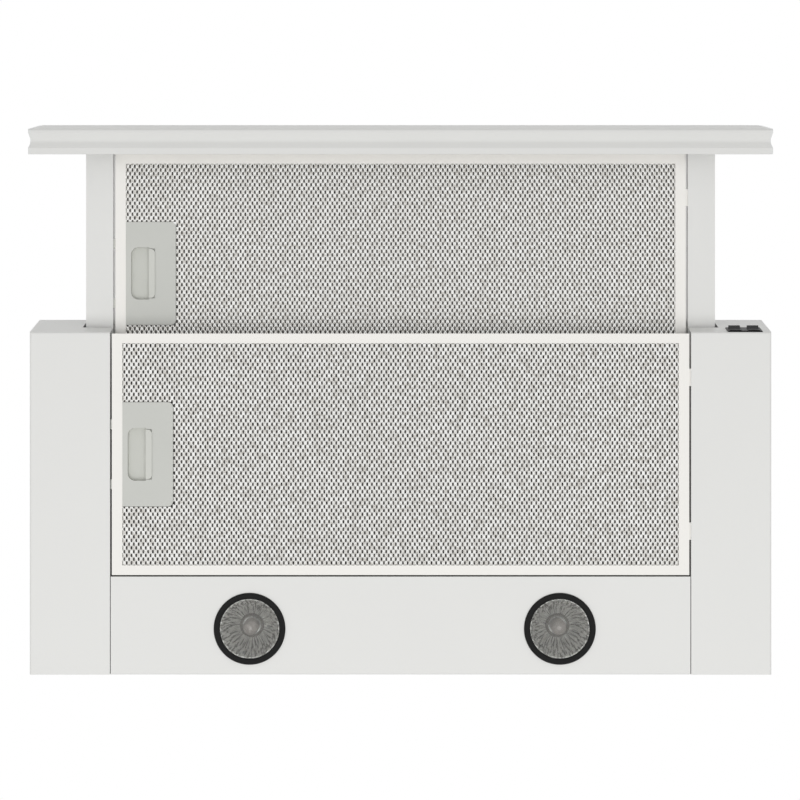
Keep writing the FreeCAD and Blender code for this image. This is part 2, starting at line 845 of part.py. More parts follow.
def terminal_box():
    """Moulded box for the mains connection."""
    x0, x1, y0, y1 = box_sides()
    low = housing_height
    outer = block(x0, x1, y0, y1, low, low + box_height)
    outer = rounded_edges(outer, bend_radius, lambda c: near(c.z, low + box_height / 2))
    hollow = block(x0 + box_wall, x1 - box_wall, y0 + box_wall, y1 - box_wall, low + box_wall,
                   low + box_height + overrun)
    shape = outer.cut(hollow)
    place = Vector(box_center_x, -box_center_y, low)
    shape = shape.cut(rod(box_wire_hole, place - AXIS_Z * overrun, place + AXIS_Z * overrun))
    spot = gland_middle()
    return shape.cut(rod(gland_thread_radius + fit_gap, spot - AXIS_X * overrun, spot + AXIS_X * overrun))


def terminal_box_lid():
    """Lid with a rim that drops inside the box."""
    x0, x1, y0, y1 = box_sides()
    low = housing_height + box_height
    plate = block(x0, x1, y0, y1, low, low + box_lid_thickness)
    plate = rounded_edges(plate, bend_radius, lambda c: near(c.z, low + box_lid_thickness / 2))
    gap = box_wall + touch_gap
    rim = block(x0 + gap, x1 - gap, y0 + gap, y1 - gap, low - box_wall, low)
    room = gap + box_wall
    rim = rim.cut(block(x0 + room, x1 - room, y0 + room, y1 - room, low - box_wall - overrun, low))
    return joined([plate, rim])


def terminal_block():
    """Screw terminal strip beside the wire hole."""
    low = housing_height + box_wall
    y1 = box_sides()[3] - box_wall - touch_gap
    x0 = box_center_x - block_length / 2
    shape = block(x0, x0 + block_length, y1 - block_width / 2, y1, low, low + block_height)
    pitch = block_length / block_way_count
    for index in range(block_way_count):
        spot = Vector(x0 + pitch * (index + 0.5), y1 - block_width / 4, low + block_height / 2)
        shape = shape.cut(rod(block_way_radius, spot, spot + AXIS_Z * block_height))
    return shape


def cable_gland():
    """Gland in the box's wall, where the mains lead comes in."""
    wall = gland_middle()
    inside = wall - AXIS_X * (box_wall * 2 + touch_gap)
    collar = rod(gland_radius, wall, wall + AXIS_X * gland_length)
    collar = rounded_edges(collar, bend_radius, lambda c: near(c.x, wall.x + gland_length))
    thread = rod(gland_thread_radius, inside, wall)
    shape = joined([collar, thread])
    reach = AXIS_X * (gland_length + overrun)
    return shape.cut(rod(gland_bore, inside - reach, wall + reach))


# Grease filters

def filter_frame(x_middle, y_front, z_low):
    """Aluminium channel frame with two hooked tabs on its right side."""
    half = filter_width / 2
    y_back = y_front + filter_depth
    z_high = z_low + filter_height
    t = filter_sheet
    outer = block(-half, half, y_front, y_back, z_low, z_high)
    inner = block(-half + t, half - t, y_front + t, y_back - t, z_low + t, z_high - t)
    window = block(-half + filter_lip_side, half - filter_lip_side, y_front + filter_lip_end,
                   y_back - filter_lip_end, z_low - overrun, z_high + overrun)
    shape = outer.cut(inner).cut(window)
    middle = y_front + filter_depth / 2
    tabs = []
    for place in (-filter_tab_place, filter_tab_place):
        low = z_low + sheet + touch_gap
        tabs.append(block(half - t, half + filter_tab_length, middle + place - filter_tab_width / 2,
                          middle + place + filter_tab_width / 2, low, low + filter_tab_thickness))
    shape = joined([shape] + tabs)
    for place in (-latch_tongue_place, latch_tongue_place):
        low = z_low + latch_wall + touch_gap
        reach = latch_tongue_width / 2 + touch_gap
        y = middle + place
        shape = shape.cut(block(-half - overrun, -half + t + fit_gap, y - reach, y + reach,
                                low - touch_gap, low + latch_bar_thickness + touch_gap))
    return shape


def filter_layers(y_front, z_low):
    """Stacked sheets of expanded mesh, cut away round the latch."""
    half = filter_width / 2 - filter_sheet - touch_gap
    y0 = y_front + filter_sheet + touch_gap
    y1 = y_front + filter_depth - filter_sheet - touch_gap
    x0, x1, ya, yb = latch_sides(y_front)
    room = block(-half - overrun, x1 + touch_gap, ya - touch_gap, yb + touch_gap, z_low - overrun,
                 z_low + filter_height + overrun)
    layers = []
    for index in range(filter_layer_count):
        low = z_low + filter_sheet + touch_gap / 2 + filter_layer_pitch * index
        layers.append(block(-half, half, y0, y1, low, low + filter_layer_thickness).cut(room))
    return layers


def latch_sides(y_front):
    """Limits of the latch plate in plan."""
    x0 = -filter_width / 2 + filter_lip_side + fit_gap
    middle = y_front + filter_depth / 2
    return x0, x0 + latch_plate_width, middle - latch_plate_length / 2, middle + latch_plate_length / 2


def latch_pocket(x_shift, y_front, grow, z0, z1):
    """D-shaped finger opening, grown all round by a gap."""
    x0, x1, ya, yb = latch_sides(y_front)
    middle = (ya + yb) / 2
    left = x0 + latch_finger_inset + x_shift - grow
    right = x0 + latch_finger_inset + latch_pocket_width + x_shift + grow
    half = latch_pocket_length / 2 + grow
    shape = block(left, right, middle - half, middle + half, z0, z1)
    return rounded_edges(shape, latch_pocket_corner, lambda c: near(c.x, left) and near(c.z, (z0 + z1) / 2))


def latch_plate(y_front, z_low):
    """Grey moulded plate with a D-shaped opening and slots for the tongues."""
    x0, x1, ya, yb = latch_sides(y_front)
    high = z_low + latch_plate_height
    outer = block(x0, x1, ya, yb, z_low, high)
    outer = rounded_edges(outer, latch_corner, lambda c: near(c.x, x1) and near(c.z, (z_low + high) / 2))
    w = latch_wall
    hollow = block(x0 + w, x1 - w, ya + w, yb - w, z_low + w, high + overrun)
    shape = outer.cut(hollow)
    window = latch_pocket(0, y_front, 0, z_low - overrun, z_low + overrun)
    middle = (ya + yb) / 2
    lip_x = x0 + latch_finger_inset + latch_pocket_width
    slot_right = lip_x + latch_neck_width + latch_travel + touch_gap
    slot_half = latch_lip_length / 2 + touch_gap
    slot = block(lip_x - fit_gap, slot_right, middle - slot_half, middle + slot_half, z_low - overrun,
                 z_low + overrun)
    shape = shape.cut(window).cut(slot)
    for place in (-latch_tongue_place, latch_tongue_place):
        reach = latch_tongue_width / 2 + touch_gap
        y = middle + place
        shape = shape.cut(block(x0 - overrun, x0 + w + fit_gap, y - reach, y + reach,
                                z_low + w, z_low + w + latch_bar_thickness + touch_gap * 2))
    return shape


def latch_slider(y_front, z_low, tongue_reach):
    """Sprung finger latch: pocket, lip, cross bar and two tongues."""
    x0, x1, ya, yb = latch_sides(y_front)
    middle = (ya + yb) / 2
    low = z_low + latch_wall + touch_gap
    bar_left = x0 + latch_wall + touch_gap
    bar_right = x0 + latch_bar_right
    lip_x = x0 + latch_finger_inset + latch_pocket_width
    cup_top = z_low + latch_pocket_depth + latch_rim
    cup = latch_pocket(0, y_front, latch_rim, low, cup_top)
    bar = block(bar_left, bar_right, middle - latch_bar_length / 2, middle + latch_bar_length / 2,
                low, low + latch_bar_thickness)
    pieces = [bar, cup]
    for place in (-latch_tongue_place, latch_tongue_place):
        pieces.append(block(-filter_width / 2 - tongue_reach, bar_left + overrun,
                            middle + place - latch_tongue_width / 2, middle + place + latch_tongue_width / 2,
                            low, low + latch_bar_thickness))
    half = latch_lip_length / 2
    neck = block(lip_x, lip_x + latch_neck_width, middle - half, middle + half,
                 z_low - touch_gap, low + fit_gap)
    lip = block(lip_x, lip_x + latch_lip_width, middle - half, middle + half,
                z_low - latch_lip_proud - touch_gap, z_low - touch_gap)
    lip_bottom = z_low - latch_lip_proud - touch_gap
    right = lip_x + latch_lip_width
    lip_middle = lip_bottom + latch_lip_proud / 2
    lip = rounded_edges(lip, latch_lip_corner, lambda c: near(c.x, right) and near(c.z, lip_middle))
    lip = rounded_edges(lip, latch_lip_edge, lambda c: near(c.z, lip_bottom) and not near(c.x, lip_x))
    shape = joined(pieces)
    shape = shape.cut(latch_pocket(0, y_front, 0, z_low - overrun, z_low + latch_pocket_depth))
    return joined([shape, neck, lip])


def latch_springs(y_front, z_low):
    """Two bent leaf springs that push the latch towards the tongues' side."""
    x0, x1, ya, yb = latch_sides(y_front)
    middle = (ya + yb) / 2
    left = x0 + latch_bar_right + fit_gap
    right = x1 - latch_wall - fit_gap
    s = latch_spring_sheet
    low = z_low + latch_wall + touch_gap
    high = low + latch_bar_thickness
    crest = high + latch_spring_width / 2
    outline = [(left, low), (left + s, low), (left + s, high), ((left + right) / 2, crest),
               (right - s, high), (right - s, low), (right, low), (right, high + s),
               ((left + right) / 2, crest + s), (left, high + s)]
    half = latch_spring_width / 2
    return [lengthwise(outline, middle + place - half, middle + place + half)
            for place in (-latch_spring_place, latch_spring_place)]


# Lamps

def revolved(points, x):
    """Outline of (radius, height) turned about a lamp's upright axis."""
    spots = [Vector(r, 0, h) for r, h in points]
    face = Part.Face(Part.makePolygon(spots + spots[:1]))
    return moved(face.revolve(Vector(0, 0, 0), AXIS_Z, 360), x, lamp_y, 0)


def lamp_base():
    """Height of the lamp's front glass."""
    return under - lamp_bezel_proud + lamp_bezel_lip + touch_gap


def lamp_ring(x):
    """Black moulded ring with an inner lip and a sleeve through the panel."""
    low = under - lamp_bezel_proud
    high = under + lamp_bezel_sleeve_height
    bevel = lamp_bezel_proud / 2
    return revolved([
        (lamp_bezel_lip_bore, low + bevel), (lamp_bezel_lip_bore + bevel, low),
        (lamp_bezel_radius - bevel, low), (lamp_bezel_radius, low + bevel),
        (lamp_bezel_radius, under - fit_gap), (lamp_bezel_sleeve_radius, under - fit_gap),
        (lamp_bezel_sleeve_radius, high), (lamp_bezel_bore, high),
        (lamp_bezel_bore, low + lamp_bezel_lip), (lamp_bezel_lip_bore, low + lamp_bezel_lip),
    ], x)


def bowl_radius(share):
    """Outer radius of the lamp's bowl at a share of its height, a parabola."""
    rim = lamp_face_radius - fit_gap
    return lamp_neck_radius + (rim - lamp_neck_radius) * math.sqrt(1 - share)


def lamp_reflector(x):
    """Pressed glass bowl, silvered inside, with a ceramic neck and two pins."""
    low = lamp_base() + lamp_glass_thickness
    shares = [index / 8 for index in range(9)]
    wall = lamp_bowl_wall
    outer = [(bowl_radius(share), low + lamp_bowl_height * share) for share in shares]
    inner = [(max(bowl_radius(share) - wall, lamp_burner_radius + fit_gap), low + lamp_bowl_height * share)
             for share in reversed(shares[:-1])]
    neck_top = low + lamp_bowl_height + lamp_neck_height
    inside_top = low + lamp_bowl_height
    bore = lamp_burner_radius + fit_gap
    neck = [(lamp_neck_radius, neck_top), (0, neck_top), (0, inside_top), (bore, inside_top)]
    points = outer + neck + inner
    bowl = revolved(points, x)
    pins = [rod(lamp_pin_radius, Vector(x + side * lamp_pin_place, lamp_y, neck_top),
                Vector(x + side * lamp_pin_place, lamp_y, neck_top + lamp_pin_length)) for side in (-1, 1)]
    return joined([bowl] + pins)


def lamp_lens(x):
    """Round front glass."""
    low = lamp_base()
    edge = lamp_glass_thickness / 3
    return revolved([(0, low), (lamp_face_radius - edge, low), (lamp_face_radius, low + edge),
                     (lamp_face_radius, low + lamp_glass_thickness), (0, low + lamp_glass_thickness)], x)


def lamp_burner(x):
    """Quartz capsule in the bowl's middle."""
    top = lamp_base() + lamp_glass_thickness + lamp_bowl_height
    base = Vector(x, lamp_y, top)
    tip = base - AXIS_Z * lamp_burner_height
    return joined([rod(lamp_burner_radius, tip, base), Part.makeSphere(lamp_burner_radius, tip)])


def lamp_holder(x):
    """Ceramic socket pushed on the lamp's pins."""
    low = lamp_base() + lamp_glass_thickness + lamp_bowl_height + lamp_neck_height + touch_gap
    base = Vector(x, lamp_y, low)
    shape = rod(lamp_holder_radius, base, base + AXIS_Z * lamp_holder_height)
    shape = rounded_edges(shape, bend_radius, lambda c: near(c.z, low + lamp_holder_height))
    for side in (-1, 1):
        spot = base + AXIS_X * side * lamp_pin_place
        tip = spot + AXIS_Z * (lamp_pin_length + touch_gap)
        shape = shape.cut(rod(lamp_pin_radius + fit_gap, spot - AXIS_Z, tip))
    return shape


def lamp_clips(x):
    """Two bent spring clips that clamp a lamp ring to the panel."""
    inner = lamp_bezel_sleeve_radius + fit_gap
    foot = under + sheet + fit_gap
    s = lamp_clip_sheet
    high = foot + lamp_clip_rise
    outline = [(inner, foot + s), (inner + s, foot + s), (inner + s, high - s * 2),
               (inner + lamp_clip_reach, foot), (inner + lamp_clip_reach + s, foot + s),
               (inner + s, high), (inner, high)]
    clip = lengthwise(outline, -lamp_clip_width / 2, lamp_clip_width / 2)
    other = turned(clip, Vector(0, 0, 0), AXIS_Z, 180)
    return [moved(piece, x, lamp_y, 0) for piece in (clip, other)]


# Switches, drawn upright against the face and then leant with it

def on_face(shape):
    """Lean a shape drawn upright at the bottom of the front face."""
    angle = math.degrees(math.atan2(face_lean, base_height))
    return turned(moved(shape, 0, front, under), Vector(0, front, under), AXIS_X, angle)


def switch_middle():
    """Height of the rockers' pins above the base's lower edge, along the face."""
    return switch_bottom + switch_height / 2


def rocker_centers():
    """Places of the two rockers across the hood."""
    return switch_center - switch_pitch / 2, switch_center + switch_pitch / 2


def switch_cutout():
    """Hole in the face behind the bezel."""
    half = switch_pitch / 2 + switch_body_width / 2 + touch_gap
    reach = switch_body_height / 2 + touch_gap
    return block(switch_center - half, switch_center + half, -overrun, overrun,
                 switch_middle() - reach, switch_middle() + reach)


def switch_bezel():
    """Black frame round both rockers."""
    half = switch_width / 2
    outer = block(switch_center - half, switch_center + half, -switch_rim, 0,
                  switch_bottom, switch_bottom + switch_height)
    outer = rounded_edges(outer, switch_rim / 2, lambda c: near(c.y, -switch_rim))
    for x in rocker_centers():
        side = rocker_width / 2 + touch_gap
        reach = rocker_half_height + touch_gap * 3
        outer = outer.cut(block(x - side, x + side, -overrun, overrun,
                                switch_middle() - reach, switch_middle() + reach))
    return on_face(outer)


def switch_body(x):
    """Moulded switch case behind one rocker, with three blade terminals."""
    half = switch_body_width / 2
    reach = switch_body_height / 2
    w = switch_body_wall
    low = switch_middle() - reach
    case = block(x - half, x + half, 0, switch_body_depth, low, low + switch_body_height)
    room = block(x - half + w, x + half - w, -overrun, rocker_root + overrun, low + w,
                 low + switch_body_height - w)
    shape = case.cut(room)
    pin = Vector(x, rocker_pin_depth, switch_middle())
    ends = AXIS_X * half * 2
    shape = shape.cut(rod(rocker_pin_radius + shaft_clearance, pin - ends, pin + ends))
    blades = []
    for place in (-1, 0, 1):
        z = switch_middle() + place * switch_blade_width
        blades.append(block(x - switch_blade_width / 2, x + switch_blade_width / 2, switch_body_depth,
                            switch_body_depth + switch_blade_length, z, z + switch_blade_thickness))
    return on_face(joined([shape] + blades))


def rocker(x, tilt):
    """Rocker with a dished face and two stub pins, tilted to its rest side."""
    half = rocker_width / 2
    reach = rocker_half_height
    middle = switch_middle()
    outline = [(-rocker_proud, -reach), (-rocker_proud / 2, 0), (-rocker_proud, reach),
               (rocker_root / 2, reach), (rocker_root, reach / 2), (rocker_root, -reach / 2),
               (rocker_root / 2, -reach)]
    body = across([(y, middle + z) for y, z in outline], x - half, x + half)
    pin = Vector(x, rocker_pin_depth, middle)
    ends = AXIS_X * (switch_body_width / 2)
    shape = joined([body, rod(rocker_pin_radius, pin - ends, pin + ends)])
    return on_face(turned(shape, pin, AXIS_X, tilt))


# Visor

def groove_edges_y():
    """Front and back edges of the finger groove on the trim's underside."""
    front_y = -trim_front + trim_groove_inset
    return front_y, front_y + trim_groove_width


def groove(grow, x0, x1):
    """Finger groove under the trim, grown all round by a wall thickness."""
    front_y, back_y = groove_edges_y()
    front_y -= grow
    back_y += grow
    high = under + trim_groove_depth + grow
    outline = [
        (front_y, under - overrun), (front_y, under), (front_y + trim_groove_front_slope, high),
        (back_y - trim_groove_back_slope, high), (back_y, under), (back_y, under - overrun),
    ]
    middle = (x0 + x1) / 2
    return rounded_edges(
        across(outline, x0, x1), trim_groove_corner,
        lambda c: near(c.z, high) and near(c.x, middle))


def trim_edge_rounding(shape, x):
    """Round the trim's nose and crest on a piece whose middle is at x."""
    top_y = trim_face_y(trim_top)
    nosed = rounded_edges(
        shape, trim_nose_radius,
        lambda c: near(c.x, x) and near(c.z, under) and near(c.y, -trim_front))
    return rounded_edges(
        nosed, trim_crest_radius,
        lambda c: near(c.x, x) and near(c.z, trim_top) and near(c.y, top_y))


def visor_trim():
    """Hollow front profile with a finger groove, open towards the hood."""
    side = trim_half - trim_cap_thickness
    t = trim_wall
    wall = [(trim_face_y(under), under), (trim_face_y(trim_top), trim_top),
            (trim_face_y(trim_top) + t, trim_top), (trim_face_y(under) + t, under)]
    hump = groove(t, -side, side)
    hump = hump.cut(block(-side, side, -trim_front - overrun, -trim_back, under - overrun * 2, under))
    boss_low = under + trim_boss_rise
    boss_high = boss_low + trim_boss_height
    deep = t + trim_boss_thickness
    boss = [(trim_face_y(boss_low) + t / 2, boss_low), (trim_face_y(boss_high) + t / 2, boss_high),
            (trim_face_y(boss_high) + deep, boss_high), (trim_face_y(boss_low) + deep, boss_low)]
    top_y = trim_face_y(trim_top)
    shape = joined([
        across(wall, -side, side),
        block(-side, side, trim_face_y(under), -trim_back, under, under + t),
        block(-side, side, top_y, top_y + trim_top_flange, trim_top - t, trim_top),
        across(boss, -side, side),
        hump,
    ])
    shape = trim_edge_rounding(shape.cut(groove(0, -side - overrun, side + overrun)), 0)
    for place in trim_screw_places():
        tip = place - AXIS_Y * (trim_boss_thickness - touch_gap)
        shape = shape.cut(rod(screw_radius + fit_gap, place + AXIS_Y * overrun, tip))
    return shape


def trim_screw_places():
    """Points on the boss's rear face where the visor frame is screwed on."""
    z = under + trim_boss_rise + trim_boss_height / 2
    y = trim_face_y(z) + trim_wall + trim_boss_thickness
    xs = (-trim_screw_place_outer, -trim_screw_place_inner, trim_screw_place_inner, trim_screw_place_outer)
    return [Vector(x, y, z) for x in xs]


def cap_notch():
    """Shallow upright notch in the cap's end face, as wide as the groove."""
    front_y, back_y = groove_edges_y()
    inner = trim_half - trim_cap_notch_depth
    low = under - overrun
    outer = trim_half + overrun
    outline = [(outer, front_y), (trim_half, front_y), (inner, front_y + trim_groove_front_slope),
               (inner, back_y - trim_cap_notch_back_slope), (trim_half, back_y), (outer, back_y)]
    points = [Vector(x, y, low) for x, y in outline]
    return prism(points, AXIS_Z * (overrun + trim_cap_notch_height))


def trim_end_cap():
    """Cap that closes the right end of the trim."""
    top_y = trim_face_y(trim_top)
    outline = [(-trim_front, under), (top_y, trim_top), (top_y + trim_top_flange, trim_top),
               (-trim_back, under + trim_wall), (-trim_back, under)]
    x0 = trim_half - trim_cap_thickness
    shape = across(outline, x0, trim_half).cut(groove(0, x0 - overrun, trim_half + overrun))
    return trim_edge_rounding(shape, x0 + trim_cap_thickness / 2).cut(cap_notch())


def visor_front_lip(y, z):
    """Leaning lip that hangs from the front bar's rear corner and closes the trim's back."""
    half = opening_half - visor_lip_side_gap
    low = z - visor_lip_drop
    outline = [(y - sheet, z + sheet), (y, z + sheet), (y, z), (y + visor_lip_lean, low),
               (y + visor_lip_lean - sheet, low), (y - sheet, z)]
    return across(outline, -half, half)


def visor_front_bar():
    """Front cross channel of the visor frame, screwed to the trim's boss."""
    t = sheet
    half = visor_half_width
    low = visor_floor
    high = low + visor_rail_height
    deep = trim_wall + trim_boss_thickness
    rear = -visor_filter_front - visor_filter_gap
    web = [(trim_face_y(low) + deep, low), (trim_face_y(high) + deep, high),
           (trim_face_y(high) + deep + t, high), (trim_face_y(low) + deep + t, low)]
    shape = joined([
        across(web, -half, half),
        block(-half, half, trim_face_y(low) + deep, rear, low, low + t),
        block(-half, half, rear - t, rear, low, high),
        visor_front_lip(rear, low),
    ])
    for place in trim_screw_places():
        end = place + AXIS_Y * (overrun + t)
        shape = shape.cut(rod(screw_radius + fit_gap, place - AXIS_Y * overrun, end))
    return shape


def trim_screws():
    """Screws from inside the front bar into the trim."""
    lean = sheet + screw_head_radius * trim_lean / trim_height + fit_gap
    return [screw(place + AXIS_Y * lean, AXIS_Y * -1, trim_boss_thickness) for place in trim_screw_places()]


def visor_rail():
    """Right side rail: web beside the filter, floor and turned-up outer lip."""
    t = sheet
    inner = opening_half + touch_gap
    y0 = -visor_filter_front - visor_filter_gap
    y1 = -visor_rail_rear
    low = visor_floor
    shape = joined([
        block(inner, inner + t, y0, y1, low, low + visor_rail_height),
        block(inner, visor_half_width, y0, y1, low, low + t),
        block(visor_half_width - t, visor_half_width, y0, y1, low, low + visor_rail_lip),
    ])
    middle = -visor_filter_front + filter_depth / 2
    for place in (-filter_tab_place, filter_tab_place):
        half = filter_tab_width / 2 + touch_gap
        tab_low = low + sheet
        y = middle + place
        shape = shape.cut(block(inner - overrun, inner + t + fit_gap, y - half, y + half,
                                tab_low, tab_low + filter_tab_thickness + touch_gap * 2))
    return shape


def left_visor_rail():
    """Left side rail, with slots for the front latch's tongues."""
    t = sheet
    inner = opening_half + touch_gap
    low = visor_floor
    shape = mirrored(visor_rail())
    middle = -visor_filter_front + filter_depth / 2
    for place in (-latch_tongue_place, latch_tongue_place):
        half = latch_tongue_width / 2 + touch_gap
        slot = low + latch_wall
        y = middle + place
        shape = shape.cut(block(-inner - t - fit_gap, -inner + overrun, y - half, y + half,
                                slot, slot + latch_bar_thickness + touch_gap * 2))
    return shape


def visor_rear_bar():
    """Rear cross channel of the visor frame."""
    t = sheet
    half = opening_half + touch_gap
    y0 = -visor_filter_front + filter_depth + visor_rear_gap
    y1 = y0 + visor_bar_depth
    low = visor_floor
    high = low + visor_rail_height
    return joined([
        block(-half, half, y0, y1, low, low + t),
        block(-half, half, y0, y0 + t, low, high),
        block(-half, half, y1 - t, y1, low, high),
    ])


def channel(x_plate, x_lips, z_low, z_high, t, y0, y1):
    """Steel channel: upright plate at one x, two flanges towards the other."""
    side = 1 if x_lips > x_plate else -1
    x_inner = x_plate + side * t
    plate = block(min(x_plate, x_inner), max(x_plate, x_inner), y0, y1, z_low, z_high)
    left, right = min(x_plate, x_lips), max(x_plate, x_lips)
    return joined([
        plate,
        block(left, right, y0, y1, z_low, z_low + t),
        block(left, right, y0, y1, z_high - t, z_high),
    ])


def slide_outer():
    """Right outer slide member, fixed to its hanger."""
    low = slide_outer_floor
    x = slide_outer_plate
    return channel(x, x - slide_outer_depth, low, low + slide_outer_height, slide_sheet,
                   -slide_outer_front, -slide_outer_front + slide_outer_length)


def slide_inner():
    """Right inner slide member, riveted to the visor rail."""
    low = slide_middle - slide_inner_height / 2
    x = slide_web
    return channel(x, x + slide_inner_depth, low, low + slide_inner_height, slide_sheet,
                   -slide_inner_front, -visor_rail_rear)


def ball_rows():
    """Heights of the two ball rows, midway between the members' flanges."""
    gap_low = slide_outer_floor + slide_sheet
    gap_high = slide_middle - slide_inner_height / 2
    offset = slide_middle - (gap_low + gap_high) / 2
    return slide_middle - offset, slide_middle + offset


def ball_places():
    """Centres of the right slide's balls."""
    x = slide_web + slide_inner_depth - slide_ball_inset
    length = slide_cage_length - slide_ball_margin * 2
    step = length / (slide_ball_count - 1)
    start = -slide_cage_front + slide_ball_margin
    return [Vector(x, start + step * index, z) for z in ball_rows() for index in range(slide_ball_count)]


def ball_cage():
    """Right ball cage: a strip with two folded edges that hold the balls."""
    t = slide_cage_sheet
    x = slide_outer_plate - slide_cage_inset
    low, high = ball_rows()
    y0 = -slide_cage_front
    y1 = y0 + slide_cage_length
    left = ball_places()[0].x - slide_ball_radius - slide_ball_gap - slide_cage_edge
    shape = joined([
        block(x, x + t, y0, y1, low - t / 2, high + t / 2),
        block(left, x + t, y0, y1, low - t / 2, low + t / 2),
        block(left, x + t, y0, y1, high - t / 2, high + t / 2),
    ])
    for place in ball_places():
        reach = AXIS_Z * t
        shape = shape.cut(rod(slide_ball_radius + slide_ball_gap, place - reach, place + reach))
    return shape


def slide_hanger():
    """Right bracket that hangs the outer slide from the top plate."""
    x = slide_outer_plate
    t = hanger_sheet
    y0 = -slide_outer_front + (slide_outer_length - hanger_length) / 2
    y1 = y0 + hanger_length
    return joined([
        block(x, x + t, y0, y1, slide_outer_floor, -sheet),
        block(x, x + hanger_flange, y0, y1, -sheet - t, -sheet),
    ])


def slide_balls():
    """Steel balls of the right slide."""
    return [Part.makeSphere(slide_ball_radius, place) for place in ball_places()]


def both_hands(shapes):
    """Shapes of the right side with their mirror images."""
    return list(shapes) + [mirrored(shape) for shape in shapes]


def body_screws():
    """Screws of the housing flange and of the outlet collar."""
    screws = [screw(place + AXIS_Z * sheet, AXIS_Z * -1, screw_length) for place in housing_screw_places_xy()]
    top = AXIS_Z * collar_flange_thickness
    return screws + [screw(place + top, AXIS_Z * -1, screw_length) for place in collar_screw_places()]


front_filter_front = -visor_filter_front
rear_tongue = seam_gap - touch_gap
front_tongue = seam_gap + touch_gap + sheet + touch_gap
rocker_left, rocker_right = rocker_centers()
lamp_left, lamp_right = lamp_places

nodes = {
    "left_cheek": left_cheek(),
    "right_cheek": right_cheek(),
    "base_top_plate": base_top_plate(),
    "lamp_panel": lamp_panel(),
    "motor_housing": motor_housing(),
    "outlet_collar": outlet_collar(),
    "front_damper_flap": damper_flap(-1),
    "rear_damper_flap": damper_flap(1),
    "scroll_wall": scroll_wall(),
    "scroll_side_left": scroll_side_left(),
    "scroll_side_right": scroll_side(),
    "inlet_ring": inlet_ring(),
    "impeller": impeller(),
    "motor_body": motor_body(),
    "motor_shaft": motor_shaft(),
    "motor_bracket": motor_bracket(),
    "motor_grommets": motor_grommets(),
    "motor_screws": motor_screws(),
    "capacitor": capacitor(),
    "capacitor_nut": capacitor_nut(),
    "terminal_box": terminal_box(),
    "terminal_box_lid": terminal_box_lid(),
    "terminal_block": terminal_block(),
    "cable_gland": cable_gland(),
    "rear_filter_frame": filter_frame(0, filter_front, under),
    "rear_filter_layers": filter_layers(filter_front, under),
    "rear_latch_plate": latch_plate(filter_front, under),
    "rear_latch": latch_slider(filter_front, under, rear_tongue),
    "rear_latch_springs": latch_springs(filter_front, under),
    "front_filter_frame": filter_frame(0, front_filter_front, visor_floor),
    "front_filter_layers": filter_layers(front_filter_front, visor_floor),
    "front_latch_plate": latch_plate(front_filter_front, visor_floor),
    "front_latch": latch_slider(front_filter_front, visor_floor, front_tongue),
    "front_latch_springs": latch_springs(front_filter_front, visor_floor),
    "left_lamp_ring": lamp_ring(lamp_left),
    "right_lamp_ring": lamp_ring(lamp_right),
    "left_lamp_reflector": lamp_reflector(lamp_left),
    "right_lamp_reflector": lamp_reflector(lamp_right),
    "left_lamp_lens": lamp_lens(lamp_left),
    "right_lamp_lens": lamp_lens(lamp_right),
    "lamp_burners": [lamp_burner(x) for x in lamp_places],
    "lamp_holders": [lamp_holder(x) for x in lamp_places],
    "lamp_clips": [clip for x in lamp_places for clip in lamp_clips(x)],
    "switch_bezel": switch_bezel(),
    "switch_bodies": [switch_body(x) for x in rocker_centers()],
    "left_rocker": rocker(rocker_left, rocker_tilt),
    "right_rocker": rocker(rocker_right, rocker_tilt),
    "visor_trim": visor_trim(),
    "trim_end_caps": both_hands([trim_end_cap()]),
    "visor_front_bar": visor_front_bar(),
    "visor_rear_bar": visor_rear_bar(),
    "left_visor_rail": left_visor_rail(),
    "right_visor_rail": visor_rail(),
    "trim_screws": trim_screws(),
    "slide_outer_members": both_hands([slide_outer()]),
    "slide_inner_members": both_hands([slide_inner()]),
    "ball_cages": both_hands([ball_cage()]),
    "slide_balls": both_hands(slide_balls()),
    "slide_hangers": both_hands([slide_hanger()]),
    "body_screws": body_screws(),
}

os.makedirs("parts", exist_ok=True)
for name, shape in nodes.items():
    if isinstance(shape, list):
        shape = Part.makeCompound(shape)
    shape.exportStep(f"parts/{name}.step")
    print(name, len(shape.Solids), "solids,", round(shape.Volume), "mm3, valid", shape.isValid())
print(len(nodes), "nodes")
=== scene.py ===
import math

import bmesh
import bpy
from mathutils import Matrix, Vector


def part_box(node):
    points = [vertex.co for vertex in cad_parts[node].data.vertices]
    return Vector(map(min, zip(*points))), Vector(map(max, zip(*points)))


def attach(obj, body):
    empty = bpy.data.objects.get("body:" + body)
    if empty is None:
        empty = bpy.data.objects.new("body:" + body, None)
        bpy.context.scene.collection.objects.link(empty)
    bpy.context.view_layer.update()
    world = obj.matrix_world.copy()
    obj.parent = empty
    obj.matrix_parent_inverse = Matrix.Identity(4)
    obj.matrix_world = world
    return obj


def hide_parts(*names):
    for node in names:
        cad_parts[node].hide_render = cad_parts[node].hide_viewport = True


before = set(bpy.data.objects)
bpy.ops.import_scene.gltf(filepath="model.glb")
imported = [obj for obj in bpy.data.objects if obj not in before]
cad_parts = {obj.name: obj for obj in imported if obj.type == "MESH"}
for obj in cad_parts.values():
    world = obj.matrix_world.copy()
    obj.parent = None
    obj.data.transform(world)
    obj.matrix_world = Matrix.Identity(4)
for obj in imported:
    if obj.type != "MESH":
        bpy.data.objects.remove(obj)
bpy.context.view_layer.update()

# Cheeks, lamp panel, top plate and visor frame
# Mild steel sheet, folded and spot-welded, with a white polyester powder coat
# baked on: a satin skin with a faint orange peel and no visible brush or grain.
MM = 0.001
gloss_swing = 0.04
relief_strength = 0.5


